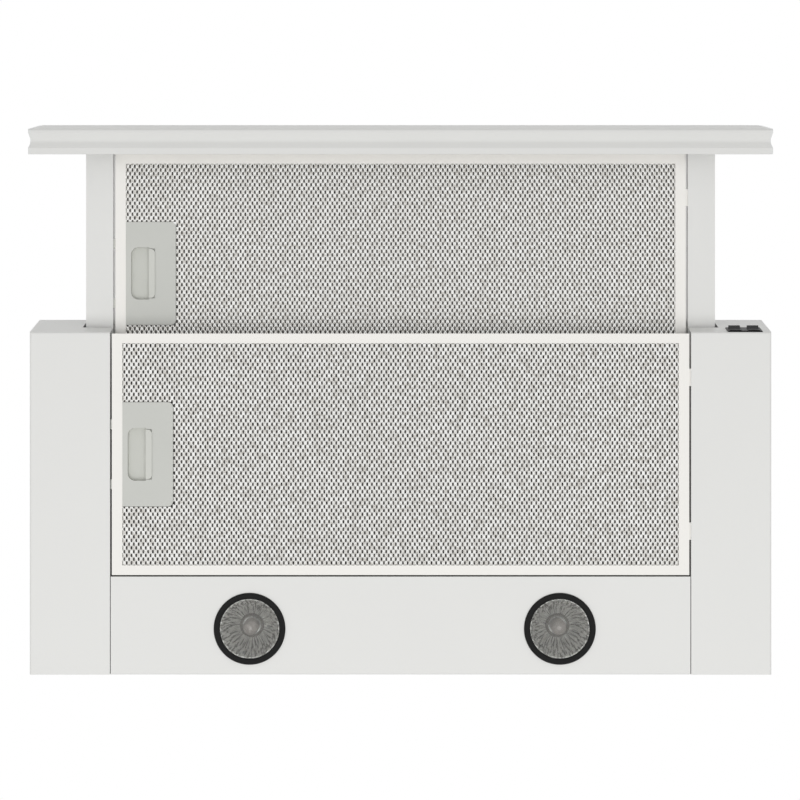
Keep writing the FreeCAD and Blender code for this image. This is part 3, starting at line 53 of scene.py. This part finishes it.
def linear(text):
    """An sRGB hex colour as linear RGBA."""
    channels = [int(text[start:start + 2], 16) / 255 for start in (1, 3, 5)]
    return tuple(
        channel / 12.92 if channel <= 0.04045 else ((channel + 0.055) / 1.055) ** 2.4
        for channel in channels
    ) + (1.0,)


def add(tree, kind, inputs=None, **settings):
    """A new node with its settings; an input is a plain value or another node's output."""
    made = tree.nodes.new(kind)
    for name, value in settings.items():
        setattr(made, name, value)
    for name, value in (inputs or {}).items():
        if isinstance(value, bpy.types.NodeSocket):
            tree.links.new(value, made.inputs[name])
        else:
            made.inputs[name].default_value = value
    return made


def start_material(name):
    """An empty material with the object's own coordinates ready."""
    made = bpy.data.materials.new(name)
    made.use_nodes = True
    made.node_tree.nodes.clear()
    place = add(made.node_tree, "ShaderNodeTexCoord").outputs["Object"]
    return made, made.node_tree, place


def close_material(tree, settings):
    """The Principled shader with its settings, joined to the output."""
    shader = add(tree, "ShaderNodeBsdfPrincipled", settings)
    add(tree, "ShaderNodeOutputMaterial", {"Surface": shader.outputs["BSDF"]})


def coated(name, light, dark, roughness, grain, rise, patch=90 * MM, **more):
    """A smooth skin over a base: two near tones in broad patches, and a fine pebbled relief."""
    made, tree, place = start_material(name)
    broad = add(tree, "ShaderNodeTexNoise", {"Vector": place, "Scale": 1 / patch, "Detail": 2.0})
    # Sockets 6 and 7 are the Mix node's two colours, and output 2 is the mixed one.
    tone = add(tree, "ShaderNodeMix", data_type="RGBA",
               inputs={0: broad.outputs["Fac"], 6: linear(dark), 7: linear(light)})
    fine = add(tree, "ShaderNodeTexNoise", {"Vector": place, "Scale": 1 / grain, "Detail": 3.0})
    gloss = add(tree, "ShaderNodeMapRange",
                {"Value": fine.outputs["Fac"], "To Min": roughness - gloss_swing,
                 "To Max": roughness + gloss_swing})
    relief = add(tree, "ShaderNodeBump",
                 {"Height": fine.outputs["Fac"], "Strength": relief_strength, "Distance": rise})
    settings = {"Base Color": tone.outputs[2], "Roughness": gloss.outputs["Result"],
                "Normal": relief.outputs["Normal"]}
    settings.update(more)
    close_material(tree, settings)
    return made


def dress(material, *names):
    """Gives a CAD node this material."""
    for name in names:
        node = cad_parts[name]
        node.data.materials.clear()
        node.data.materials.append(material)


powder_coat = coated("white_polyester_powder_coat", "#E9E9E7", "#E6E6E4", 0.42,
                     1.4 * MM, 0.04 * MM)
dress(powder_coat, "left_cheek", "right_cheek", "lamp_panel", "base_top_plate",
      "left_visor_rail", "right_visor_rail", "visor_front_bar", "visor_rear_bar")

# Visor trim
# An extruded profile across the hood's whole width with the finger groove along
# its underside, in nearly the same white, with a flatter and slightly duller skin.
trim_coat = coated("white_coated_extrusion", "#E7E7E5", "#E4E4E2", 0.46, 1.8 * MM, 0.03 * MM,
                   **{"Specular IOR Level": 0.3})
dress(trim_coat, "visor_trim")

# Trim end caps
# Injection-moulded ABS that closes each end of the trim, glossier than the coat
# beside it and very slightly cooler.
cap_plastic = coated("moulded_white_abs", "#E6E7E6", "#E2E3E2", 0.3, 0.5 * MM, 0.01 * MM)
dress(cap_plastic, "trim_end_caps")

# Filter frames
# Aluminium channel, rolled and mitred round the mesh, with a matt, nearly white
# etched skin. Bare metal would be fully metallic: 0.35 is matched to the photo.
# Its rolling lines are drawn a third of a millimetre apart, coarser than real ones.
rolling_length = 25 * MM
rolling_pitch = MM / 3
etched_aluminium, tree, place = start_material("etched_aluminium")
lines = add(tree, "ShaderNodeMapping",
            {"Vector": place,
             "Scale": (1 / rolling_length, 1 / rolling_length, 1 / rolling_pitch)})
rolled = add(tree, "ShaderNodeTexNoise",
             {"Vector": lines.outputs["Vector"], "Scale": 1.0, "Detail": 4.0})
streak = add(tree, "ShaderNodeMapRange",
             {"Value": rolled.outputs["Fac"], "To Min": 0.34, "To Max": 0.44})
relief = add(tree, "ShaderNodeBump",
             {"Height": rolled.outputs["Fac"], "Strength": 0.3, "Distance": 0.02 * MM})
close_material(tree, {"Base Color": linear("#F1EFEB"), "Metallic": 0.35,
                      "Roughness": streak.outputs["Result"], "Normal": relief.outputs["Normal"]})
dress(etched_aluminium, "rear_filter_frame", "front_filter_frame")

# Filter mesh
# Expanded aluminium foil: slit and stretched so that strands meet at upright
# bonds. Five sheets lie in a stack, and both pitches are counted in the photo.
hole_pitch = 3.84 * MM
row_pitch = 3.02 * MM
strand_half = 0.6 * MM
hole_half = Vector((0.88, 1.62)) * MM
strand_rise = 0.26 * MM
edges_at_bond = 8
mesh_weld = 0.001 * MM
plate_corner = 2.3 * MM
plate_gap = 0.3 * MM
inner_foils = 3
foil_thickness = 0.3 * MM
foil_pitch = 1.5 * MM


def finished_piece(name, shape, material, body):
    """A bmesh as an object that rides on a body."""
    mesh = bpy.data.meshes.new(name)
    shape.to_mesh(mesh)
    shape.free()
    piece = bpy.data.objects.new(name, mesh)
    bpy.context.scene.collection.objects.link(piece)
    mesh.materials.append(material)
    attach(piece, body)
    return piece


def mesh_sheet(low, high, gap_low, gap_high, height):
    """Staggered diamond holes in a closed sheet between two corners, cut away round the latch."""
    width = high.x - low.x
    depth = high.y - low.y
    cells = math.ceil(width / hole_pitch + depth / row_pitch / 2) + 2
    shape = bmesh.new()
    bmesh.ops.create_grid(shape, x_segments=cells, y_segments=cells, size=cells / 2)
    bmesh.ops.rotate(shape, verts=shape.verts, matrix=Matrix.Rotation(math.pi / 4, 3, "Z"))
    half_diagonal = math.sqrt(0.5)
    bmesh.ops.scale(shape, verts=shape.verts,
                    vec=(hole_pitch / 2 / half_diagonal, row_pitch / half_diagonal, 1))
    middle = (low + high) / 2
    bmesh.ops.translate(shape, verts=shape.verts, vec=(middle.x, middle.y, 0))

    def outside(spot):
        away = not (low.x < spot.x < high.x and low.y < spot.y < high.y)
        return away or (spot.x < gap_high.x - 2 * hole_pitch
                        and gap_low.y + 2 * row_pitch < spot.y < gap_high.y - 2 * row_pitch)

    def near_gap(spot):
        return (spot.x < gap_high.x + hole_pitch
                and gap_low.y - 2 * row_pitch < spot.y < gap_high.y + 2 * row_pitch)

    def in_gap(spot):
        across = spot.x - gap_high.x
        below = gap_low.y - spot.y
        above = spot.y - gap_high.y
        inside = across < 0 and below < 0 and above < 0
        return inside and max(across + below, across + above) < -plate_corner

    # Whole cells outside the sheet go first, then each cell left gets its hole.
    spare = [face for face in shape.faces if outside(face.calc_center_median())]
    bmesh.ops.delete(shape, geom=spare, context="FACES")
    holes = list(shape.faces)
    bmesh.ops.inset_individual(shape, faces=holes, thickness=strand_half, use_even_offset=True)
    rims = list({edge for face in holes for edge in face.edges})
    bmesh.ops.subdivide_edges(shape, edges=rims, cuts=1)
    for face in holes:
        center = face.calc_center_bounds()
        for vert in face.verts:
            turn = math.atan2((vert.co.y - center.y) / row_pitch,
                              (vert.co.x - center.x) / hole_pitch * 2)
            vert.co.x = center.x + hole_half.x * math.cos(turn)
            vert.co.y = center.y + hole_half.y * math.sin(turn)
    bmesh.ops.delete(shape, geom=holes, context="FACES_ONLY")

    # The bonds dip, and a mirrored copy closes the strands behind.
    bonds = [vert for vert in shape.verts if len(vert.link_edges) == edges_at_bond]
    bmesh.ops.translate(shape, verts=bonds, vec=(0, 0, -strand_rise))
    copy = bmesh.ops.duplicate(
        shape, geom=shape.verts[:] + shape.edges[:] + shape.faces[:])["geom"]
    copied = [item for item in copy if isinstance(item, bmesh.types.BMVert)]
    bmesh.ops.scale(shape, verts=copied, vec=(1, 1, -1))
    turned = [item for item in copy if isinstance(item, bmesh.types.BMFace)]
    bmesh.ops.reverse_faces(shape, faces=turned)
    bmesh.ops.remove_doubles(shape, verts=shape.verts, dist=mesh_weld)

    # Only the faces near the latch plate are cut along its sides and corners.
    near = [face for face in shape.faces if near_gap(face.calc_center_median())]
    around = [*near, *{edge for face in near for edge in face.edges},
              *{vert for face in near for vert in face.verts}]
    for spot, away in (
        ((gap_high.x, 0, 0), (1, 0, 0)),
        ((0, gap_low.y, 0), (0, -1, 0)),
        ((0, gap_high.y, 0), (0, 1, 0)),
        ((gap_high.x - plate_corner, gap_low.y, 0), (1, -1, 0)),
        ((gap_high.x - plate_corner, gap_high.y, 0), (1, 1, 0)),
    ):
        cut = bmesh.ops.bisect_plane(shape, geom=around, plane_co=spot,
                                     plane_no=Vector(away).normalized())
        around = cut["geom"]
    spare = [face for face in shape.faces if in_gap(face.calc_center_median())]
    bmesh.ops.delete(shape, geom=spare, context="FACES")
    open_edges = [edge for edge in shape.edges if edge.is_boundary]
    bmesh.ops.holes_fill(shape, edges=open_edges, sides=0)
    bmesh.ops.recalc_face_normals(shape, faces=shape.faces)
    bmesh.ops.translate(shape, verts=shape.verts, vec=(0, 0, height))
    return shape


def inner_sheets(low, high, gap_low, gap_high):
    """Plain backing sheets between the two faces of the stack."""
    shape = bmesh.new()
    for index in range(inner_foils):
        for x0, x1, y0, y1 in (
            (gap_high.x, high.x, low.y, high.y),
            (low.x, gap_high.x, low.y, gap_low.y),
            (low.x, gap_high.x, gap_high.y, high.y),
        ):
            box = bmesh.ops.create_cube(shape, size=1)["verts"]
            bmesh.ops.scale(shape, verts=box, vec=(x1 - x0, y1 - y0, foil_thickness))
            spot = ((x0 + x1) / 2, (y0 + y1) / 2, low.z + foil_pitch * (index + 1))
            bmesh.ops.translate(shape, verts=box, vec=spot)
    return shape


# The two outer sheets are bright foil whose strands dull a little from place to place.
dull_patch = 2.6 * MM
face_mesh, tree, place = start_material("expanded_aluminium_face")
noise = add(tree, "ShaderNodeTexNoise",
            {"Vector": place, "Scale": 1 / dull_patch, "Detail": 2.0})
ramp = add(tree, "ShaderNodeValToRGB", {"Fac": noise.outputs["Fac"]})
ramp.color_ramp.elements[0].position = 0.3
ramp.color_ramp.elements[0].color = linear("#D6D3CD")
ramp.color_ramp.elements[1].position = 0.62
ramp.color_ramp.elements[1].color = linear("#FFFFFD")
close_material(tree, {"Base Color": ramp.outputs["Color"], "Metallic": 0.8, "Roughness": 0.25})

# The inner sheets lie in the shade of the face, and that shade is painted into their
# colour, far darker than bare foil. Their own holes are only drawn, as a pattern of deeper
# painted shade at about the same pitch, because they only show through the face's holes.
inner_mesh_painted_shade, tree, place = start_material("expanded_aluminium_inside_painted_shade")
scaled = add(tree, "ShaderNodeMapping",
             {"Vector": place, "Scale": (1 / hole_pitch, 0.5 / row_pitch, 100.0)})
cells = add(tree, "ShaderNodeTexVoronoi",
            {"Vector": scaled.outputs["Vector"], "Scale": 1.4, "Randomness": 0.6})
ramp = add(tree, "ShaderNodeValToRGB", {"Fac": cells.outputs["Distance"]})
ramp.color_ramp.elements[0].color = linear("#1B1A19")
ramp.color_ramp.elements[1].position = 0.7
ramp.color_ramp.elements[1].color = linear("#767370")
close_material(tree, {"Base Color": ramp.outputs["Color"], "Metallic": 0.6, "Roughness": 0.55})

for side in ("rear", "front"):
    body = "rear_filter" if side == "rear" else "visor"
    node = f"{side}_filter_layers"
    low, high = (Vector(corner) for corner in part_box(node))
    plate_low, plate_high = (Vector(corner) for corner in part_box(f"{side}_latch_plate"))
    gap = Vector((plate_gap, plate_gap, 0))
    plate_low -= gap
    plate_high += gap
    under_face = mesh_sheet(low, high, plate_low, plate_high, low.z + strand_rise)
    top_face = mesh_sheet(low, high, plate_low, plate_high, high.z - strand_rise)
    middle = inner_sheets(low, high, plate_low, plate_high)
    for name, shape, material in (
        (f"{side}_filter_mesh_under", under_face, face_mesh),
        (f"{side}_filter_mesh_top", top_face, face_mesh),
        (f"{side}_filter_mesh_inside", middle, inner_mesh_painted_shade),
    ):
        piece = finished_piece(name, shape, material, body)
        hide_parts(node)

# Filter latches
# Injection-moulded plate and sliding finger pocket in light grey ABS, matt, with
# the faint flow marks of the mould.
latch_plastic = coated("moulded_grey_abs", "#CECFCA", "#CACBC6", 0.5,
                       0.6 * MM, 0.01 * MM, 30 * MM)
dress(latch_plastic, "rear_latch_plate", "front_latch_plate")
slider_plastic = coated("moulded_grey_slider", "#D3D4CE", "#CECFC9", 0.45,
                        0.6 * MM, 0.01 * MM, 30 * MM)
dress(slider_plastic, "rear_latch", "front_latch")

# Springs
# Thin spring steel strip, blued by its heat treatment and lightly oiled.
spring_steel = coated("tempered_spring_steel", "#8E8F93", "#7C7D82", 0.32,
                      0.4 * MM, 0.01 * MM, 8 * MM, Metallic=1.0)
dress(spring_steel, "rear_latch_springs", "front_latch_springs", "lamp_clips")

# Lamp rings
# Black glass-filled nylon, moulded, with the dry sheen of a part that runs hot.
ring_plastic = coated("black_glass_filled_nylon", "#0E0E0E", "#080808", 0.4,
                      0.35 * MM, 0.02 * MM, 12 * MM, **{"Specular IOR Level": 0.22})
dress(ring_plastic, "left_lamp_ring", "right_lamp_ring")

# Lamp bowls
# Pressed glass, silvered, with rings of flat facets on its inner wall that scatter
# the beam; the outer wall is plain and closes in a neck with a ring of cement.
facet_steps = 56
facet_rings = 9
facet_depth = 0.8 * MM
flute_end = 0.55
bowl_wall = 0.8 * MM
neck_radius = 11 * MM
neck_height = 12 * MM
pin_length = 5 * MM
bore_radius = 9.9 * MM
bore_margin = 0.1 * MM
glass_gap = 0.05 * MM
glass_weld = 0.01 * MM
cement_radius = 7.5 * MM
cement_step = 9.0 * MM
cement_height = 3.4 * MM
cement_floor = 0.2 * MM


def spun(outline, middle):
    """A closed outline of radius and height, spun about an upright axis."""
    shape = bmesh.new()
    spots = [shape.verts.new((middle.x + r, middle.y, z)) for r, z in outline]
    edges = [shape.edges.new((spots[index], spots[(index + 1) % len(spots)]))
             for index in range(len(spots))]
    bmesh.ops.spin(shape, geom=spots + edges, cent=(middle.x, middle.y, 0), axis=(0, 0, 1),
                   angle=math.tau, steps=facet_steps, use_merge=True)
    bmesh.ops.remove_doubles(shape, verts=shape.verts, dist=glass_weld)
    bmesh.ops.recalc_face_normals(shape, faces=shape.faces)
    return shape


def bowl_shape(low, high):
    """The bowl as one spun outline, its inner wall pushed in and out facet by facet."""
    middle = (low + high) / 2
    rim = (high.x - low.x) / 2
    base = low.z + glass_gap
    neck_top = high.z - pin_length
    height = neck_top - neck_height - base
    end = base + height

    def radius(share):
        return neck_radius + (rim - neck_radius) * math.sqrt(1 - share)

    shares = [1 - (1 - index / facet_rings) ** 2 for index in range(facet_rings + 1)]
    outer = [(radius(share), base + height * share) for share in shares]
    inner = [(max(radius(share) - bowl_wall, bore_radius), base + height * share)
             for share in reversed(shares[:-1])]
    neck = [(neck_radius, neck_top), (0, neck_top), (0, end), (bore_radius, end)]
    shape = spun(outer + neck + inner, middle)

    # Near the neck the facets line up in flutes, and further out they alternate.
    for vert in shape.verts:
        away = Vector((vert.co.x - middle.x, vert.co.y - middle.y, 0))
        share = (vert.co.z - base) / height
        bounded = min(max(share, 0), 1)
        inside = bore_radius + bore_margin < away.length < radius(bounded) - bowl_wall / 2
        lean = math.sqrt(1 - bounded)
        ring = round(lean * facet_rings)
        turn = round(math.atan2(away.y, away.x) / math.tau * facet_steps)
        fluted = turn % 2 if lean < flute_end else (ring + turn) % 2
        if inside and 0 < share < 1 and fluted:
            slope = away.normalized() * lean + Vector((0, 0, 1 - lean))
            vert.co -= slope * facet_depth
    return shape


# The facets alone render too even, so painted reflections are drawn into the silver:
# light and dark streaks at about their spacing, which don't follow each facet's edges.
# Both bowls share the material, so it measures round the nearer lamp's own axis.
# 0.42 metallic is matched to the photo.
streak_height = 16 * MM
left_middle, right_middle = (
    sum((Vector(corner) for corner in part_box(f"{side}_lamp_reflector")), Vector()) / 2
    for side in ("left", "right"))
halfway = (left_middle + right_middle) / 2
silvered_glass_painted_reflections, tree, place = start_material("silvered_facet_glass_painted_reflections")
centred = add(tree, "ShaderNodeMapping",
              {"Vector": place, "Location": (-halfway.x, -halfway.y, 0)})
apart = add(tree, "ShaderNodeSeparateXYZ", {0: centred.outputs["Vector"]})
across = add(tree, "ShaderNodeMath", {0: apart.outputs["X"]}, operation="ABSOLUTE")
off_axis = add(tree, "ShaderNodeMath",
               {0: across.outputs[0], 1: right_middle.x - halfway.x}, operation="SUBTRACT")
turned = add(tree, "ShaderNodeMath",
             {0: apart.outputs["Y"], 1: off_axis.outputs[0]}, operation="ARCTAN2")
facet_turn = add(tree, "ShaderNodeMath",
                 {0: turned.outputs[0], 1: facet_steps / math.tau}, operation="MULTIPLY")
rise = add(tree, "ShaderNodeMath",
           {0: apart.outputs["Z"], 1: 1 / streak_height}, operation="MULTIPLY")
spoke = add(tree, "ShaderNodeCombineXYZ", {"X": facet_turn.outputs[0], "Y": rise.outputs[0]})
noise = add(tree, "ShaderNodeTexNoise",
            {"Vector": spoke.outputs["Vector"], "Scale": 1.3, "Detail": 1.0})
ramp = add(tree, "ShaderNodeValToRGB", {"Fac": noise.outputs["Fac"]})
ramp.color_ramp.elements[0].position = 0.4
ramp.color_ramp.elements[0].color = linear("#A09E99")
ramp.color_ramp.elements[1].position = 0.54
ramp.color_ramp.elements[1].color = linear("#FFFEFA")
close_material(tree, {"Base Color": ramp.outputs["Color"], "Metallic": 0.42, "Roughness": 0.1})
cement = coated("lamp_cement", "#8E8A84", "#7C7872", 0.8, 0.5 * MM, 0.05 * MM, 4 * MM)

for side in ("left", "right"):
    node = f"{side}_lamp_reflector"
    low, high = (Vector(corner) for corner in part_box(node))
    bowl = finished_piece(f"{side}_lamp_bowl", bowl_shape(low, high), silvered_glass_painted_reflections,
                          "hood_base")
    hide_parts(node)
    seat = high.z - pin_length - neck_height
    outline = [(cement_radius, seat - cement_height), (cement_step, seat - cement_height),
               (cement_step, seat - cement_floor), (bore_radius, seat - cement_floor),
               (bore_radius, seat), (cement_radius, seat)]
    finished_piece(f"{side}_lamp_cement", spun(outline, (low + high) / 2), cement,
                   "hood_base")

# Lamp lenses and burners
# A clear pressed glass disc closes the bowl; behind it stands the capsule of
# frosted quartz.
glass_wave = 4 * MM
lens_glass, tree, place = start_material("clear_pressed_glass")
waves = add(tree, "ShaderNodeTexNoise",
            {"Vector": place, "Scale": 1 / glass_wave, "Detail": 1.0})
relief = add(tree, "ShaderNodeBump",
             {"Height": waves.outputs["Fac"], "Strength": 0.2, "Distance": 0.1 * MM})
close_material(tree, {"Base Color": linear("#F4F5F4"), "Roughness": 0.04, "IOR": 1.5,
                      "Transmission Weight": 1.0, "Normal": relief.outputs["Normal"]})
dress(lens_glass, "left_lamp_lens", "right_lamp_lens")
burner_glass = coated("frosted_quartz", "#BDB5B0", "#9E9792", 0.35,
                      0.8 * MM, 0.02 * MM, 4 * MM)
dress(burner_glass, "lamp_burners")

# Burner tips
# The bead where each quartz capsule was pinched off and flame-sealed, clearer than
# the frosted wall round it; its lighter colour is a painted highlight, the light centre of
# each lamp.
tip_radius = 1.9 * MM
tip_height = 1.4 * MM
tip_shoulder = 0.7
sealed_tip_painted_highlight = coated("flame_sealed_quartz_painted_highlight", "#D9D2CE", "#CBC4C0", 0.2,
                   0.8 * MM, 0.01 * MM, 3 * MM)
burner_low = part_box("lamp_burners")[0][2]
for side in ("left", "right"):
    low, high = (Vector(corner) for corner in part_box(f"{side}_lamp_reflector"))
    outline = [(0, burner_low - tip_height),
               (tip_radius * tip_shoulder, burner_low - tip_height * tip_shoulder),
               (tip_radius, burner_low), (0, burner_low)]
    finished_piece(f"{side}_burner_tip", spun(outline, (low + high) / 2), sealed_tip_painted_highlight,
                   "hood_base")

# Lamp holders and terminal block
# Steatite, pressed and fired: chalky, off-white, with a fine sandy grain.
ceramic = coated("fired_steatite", "#DDD6C8", "#D0C8B8", 0.75, 0.5 * MM, 0.05 * MM, 10 * MM)
dress(ceramic, "lamp_holders", "terminal_block")

# Switches
# Bezel and cases of black polycarbonate with two dark rockers, all left matt by
# spark-eroded moulds.
bezel_plastic = coated("black_polycarbonate", "#0D0D0E", "#080809", 0.4,
                       0.3 * MM, 0.02 * MM, 10 * MM, **{"Specular IOR Level": 0.15})
dress(bezel_plastic, "switch_bezel", "switch_bodies")
rocker_plastic = coated("dark_grey_rocker", "#131314", "#0E0E0F", 0.32,
                        0.3 * MM, 0.02 * MM, 6 * MM, **{"Specular IOR Level": 0.15})
dress(rocker_plastic, "left_rocker", "right_rocker")

# Motor housing and fan casing
# Hot-dip galvanised sheet: a dull grey metal broken into spangles just under a
# centimetre across that each catch the light differently.
spangle_size = 9 * MM
galvanised, tree, place = start_material("galvanised_spangle")
spangle = add(tree, "ShaderNodeTexVoronoi", {"Vector": place, "Scale": 1 / spangle_size})
tone = add(tree, "ShaderNodeSeparateColor", {"Color": spangle.outputs["Color"]})
ramp = add(tree, "ShaderNodeValToRGB", {"Fac": tone.outputs["Red"]})
ramp.color_ramp.elements[0].color = linear("#B4B7BA")
ramp.color_ramp.elements[1].color = linear("#CDD0D2")
gloss = add(tree, "ShaderNodeMapRange",
            {"Value": tone.outputs["Green"], "To Min": 0.34, "To Max": 0.52})
close_material(tree, {"Base Color": ramp.outputs["Color"], "Metallic": 1.0,
                      "Roughness": gloss.outputs["Result"]})
dress(galvanised, "motor_housing", "scroll_wall", "scroll_side_left", "scroll_side_right",
      "slide_hangers")

# Slides, brackets and screws
# Cold-rolled steel with bright zinc plating, faintly blue and a little uneven.
zinc_plate = coated("bright_zinc_plate", "#C9CDD0", "#B2B7BC", 0.3,
                    1.2 * MM, 0.01 * MM, 15 * MM, Metallic=1.0)
dress(zinc_plate, "slide_outer_members", "slide_inner_members", "ball_cages",
      "motor_bracket", "motor_screws", "trim_screws", "body_screws", "capacitor_nut")

# Balls and motor shaft
# Hardened chrome steel, ground and polished.
polished = coated("ground_chrome_steel", "#D8D9DA", "#CFD0D2", 0.12,
                  0.5 * MM, 0.002 * MM, 5 * MM, Metallic=1.0)
dress(polished, "slide_balls", "motor_shaft")

# Outlet collar, flaps, inlet ring and cable gland
# Black polypropylene, moulded: slightly waxy, low sheen.
collar_plastic = coated("black_polypropylene", "#232324", "#1C1C1D", 0.48,
                        0.8 * MM, 0.03 * MM, 40 * MM)
dress(collar_plastic, "outlet_collar", "front_damper_flap", "rear_damper_flap",
      "inlet_ring", "cable_gland")

# Fan wheel and bushes
# Glass-filled polyamide wheel, dark grey, and black rubber bushes for the motor.
wheel_plastic = coated("glass_filled_polyamide", "#3C3D3E", "#323334", 0.5,
                       0.5 * MM, 0.03 * MM, 20 * MM)
dress(wheel_plastic, "impeller")
rubber = coated("black_rubber", "#191919", "#121212", 0.8, 0.4 * MM, 0.03 * MM, 5 * MM)
dress(rubber, "motor_grommets")

# Motor and capacitor
# The motor's can is dipped in dark stoving enamel; the capacitor is an
# aluminium can in a white shrunk sleeve.
enamel = coated("dark_stoving_enamel", "#2B2C2E", "#222325", 0.4,
                1.0 * MM, 0.03 * MM, 20 * MM)
dress(enamel, "motor_body")
sleeve = coated("white_shrink_sleeve", "#DCDCDA", "#D2D2D0", 0.35,
                2.0 * MM, 0.03 * MM, 15 * MM)
dress(sleeve, "capacitor")

# Terminal box
# Light grey polycarbonate box with its lid, moulded with a fine texture.
box_plastic = coated("textured_grey_polycarbonate", "#C4C5C4", "#BBBCBB", 0.55,
                     0.5 * MM, 0.06 * MM, 30 * MM)
dress(box_plastic, "terminal_box", "terminal_box_lid")

# Studio
# A pale floor well below the hood, soft light from under it and an even white
# surround, seen from straight underneath.
floor_drop = 6.0
floor_size = 200.0
shape = bmesh.new()
bmesh.ops.create_grid(shape, x_segments=1, y_segments=1, size=floor_size / 2)
bmesh.ops.translate(shape, verts=shape.verts, vec=(0, 0, -floor_drop))
mesh = bpy.data.meshes.new("studio_floor")
shape.to_mesh(mesh)
shape.free()
floor = bpy.data.objects.new("studio_floor", mesh)
bpy.context.scene.collection.objects.link(floor)
floor_paint, tree, _ = start_material("pale_studio_floor")
close_material(tree, {"Base Color": linear("#E0E0DF"), "Roughness": 0.7})
mesh.materials.append(floor_paint)

# What the camera sees of the surround, also in gloss and through glass, is plain
# white; as light on the hood it is a little weaker.
surround_light = 0.71
world = bpy.data.worlds.new("studio")
world.use_nodes = True
tree = world.node_tree
tree.nodes.clear()
rays = add(tree, "ShaderNodeLightPath")
seen = add(tree, "ShaderNodeMath",
           {0: rays.outputs["Is Camera Ray"], 1: rays.outputs["Is Glossy Ray"]},
           operation="MAXIMUM")
seen_through = add(tree, "ShaderNodeMath",
                   {0: seen.outputs[0], 1: rays.outputs["Is Transmission Ray"]},
                   operation="MAXIMUM")
level = add(tree, "ShaderNodeMapRange",
            {"Value": seen_through.outputs[0], "To Min": surround_light, "To Max": 1.0})
surround = add(tree, "ShaderNodeBackground",
               {"Color": (1, 1, 1, 1), "Strength": level.outputs["Result"]})
add(tree, "ShaderNodeOutputWorld", {"Surface": surround.outputs["Background"]})
bpy.context.scene.world = world

# The wide light only shows in gloss, and the narrow one only lights the surfaces.
light_drop = 2.5
for name, size, power, shift, shines in (
    ("wide_soft_light", 5.0, 39.0, 0.0, True),
    ("narrow_soft_light", 1.6, 30.0, 0.7, False),
):
    light = bpy.data.lights.new(name, "AREA")
    light.shape = "SQUARE"
    light.size = size
    light.energy = power
    lamp = bpy.data.objects.new(name, light)
    lamp.location = (0, shift, -light_drop)
    lamp.rotation_euler = (math.pi, 0, 0)
    lamp.visible_camera = False
    lamp.visible_glossy = shines
    lamp.visible_diffuse = not shines
    bpy.context.scene.collection.objects.link(lamp)

# The camera's place and focal length were solved from the photo's perspective.
camera_place = Vector((-0.45, -83.4, -2057.0)) * MM
focal_pixels = 2482
image_width = 800
camera_data = bpy.data.cameras.new("camera")
camera_data.sensor_width = 36
camera_data.lens = focal_pixels * camera_data.sensor_width / image_width
camera = bpy.data.objects.new("camera", camera_data)
camera.location = camera_place
camera.rotation_euler = (math.pi, 0, 0)
bpy.context.scene.collection.objects.link(camera)
bpy.context.scene.camera = camera

bpy.context.scene.view_settings.view_transform = "Standard"
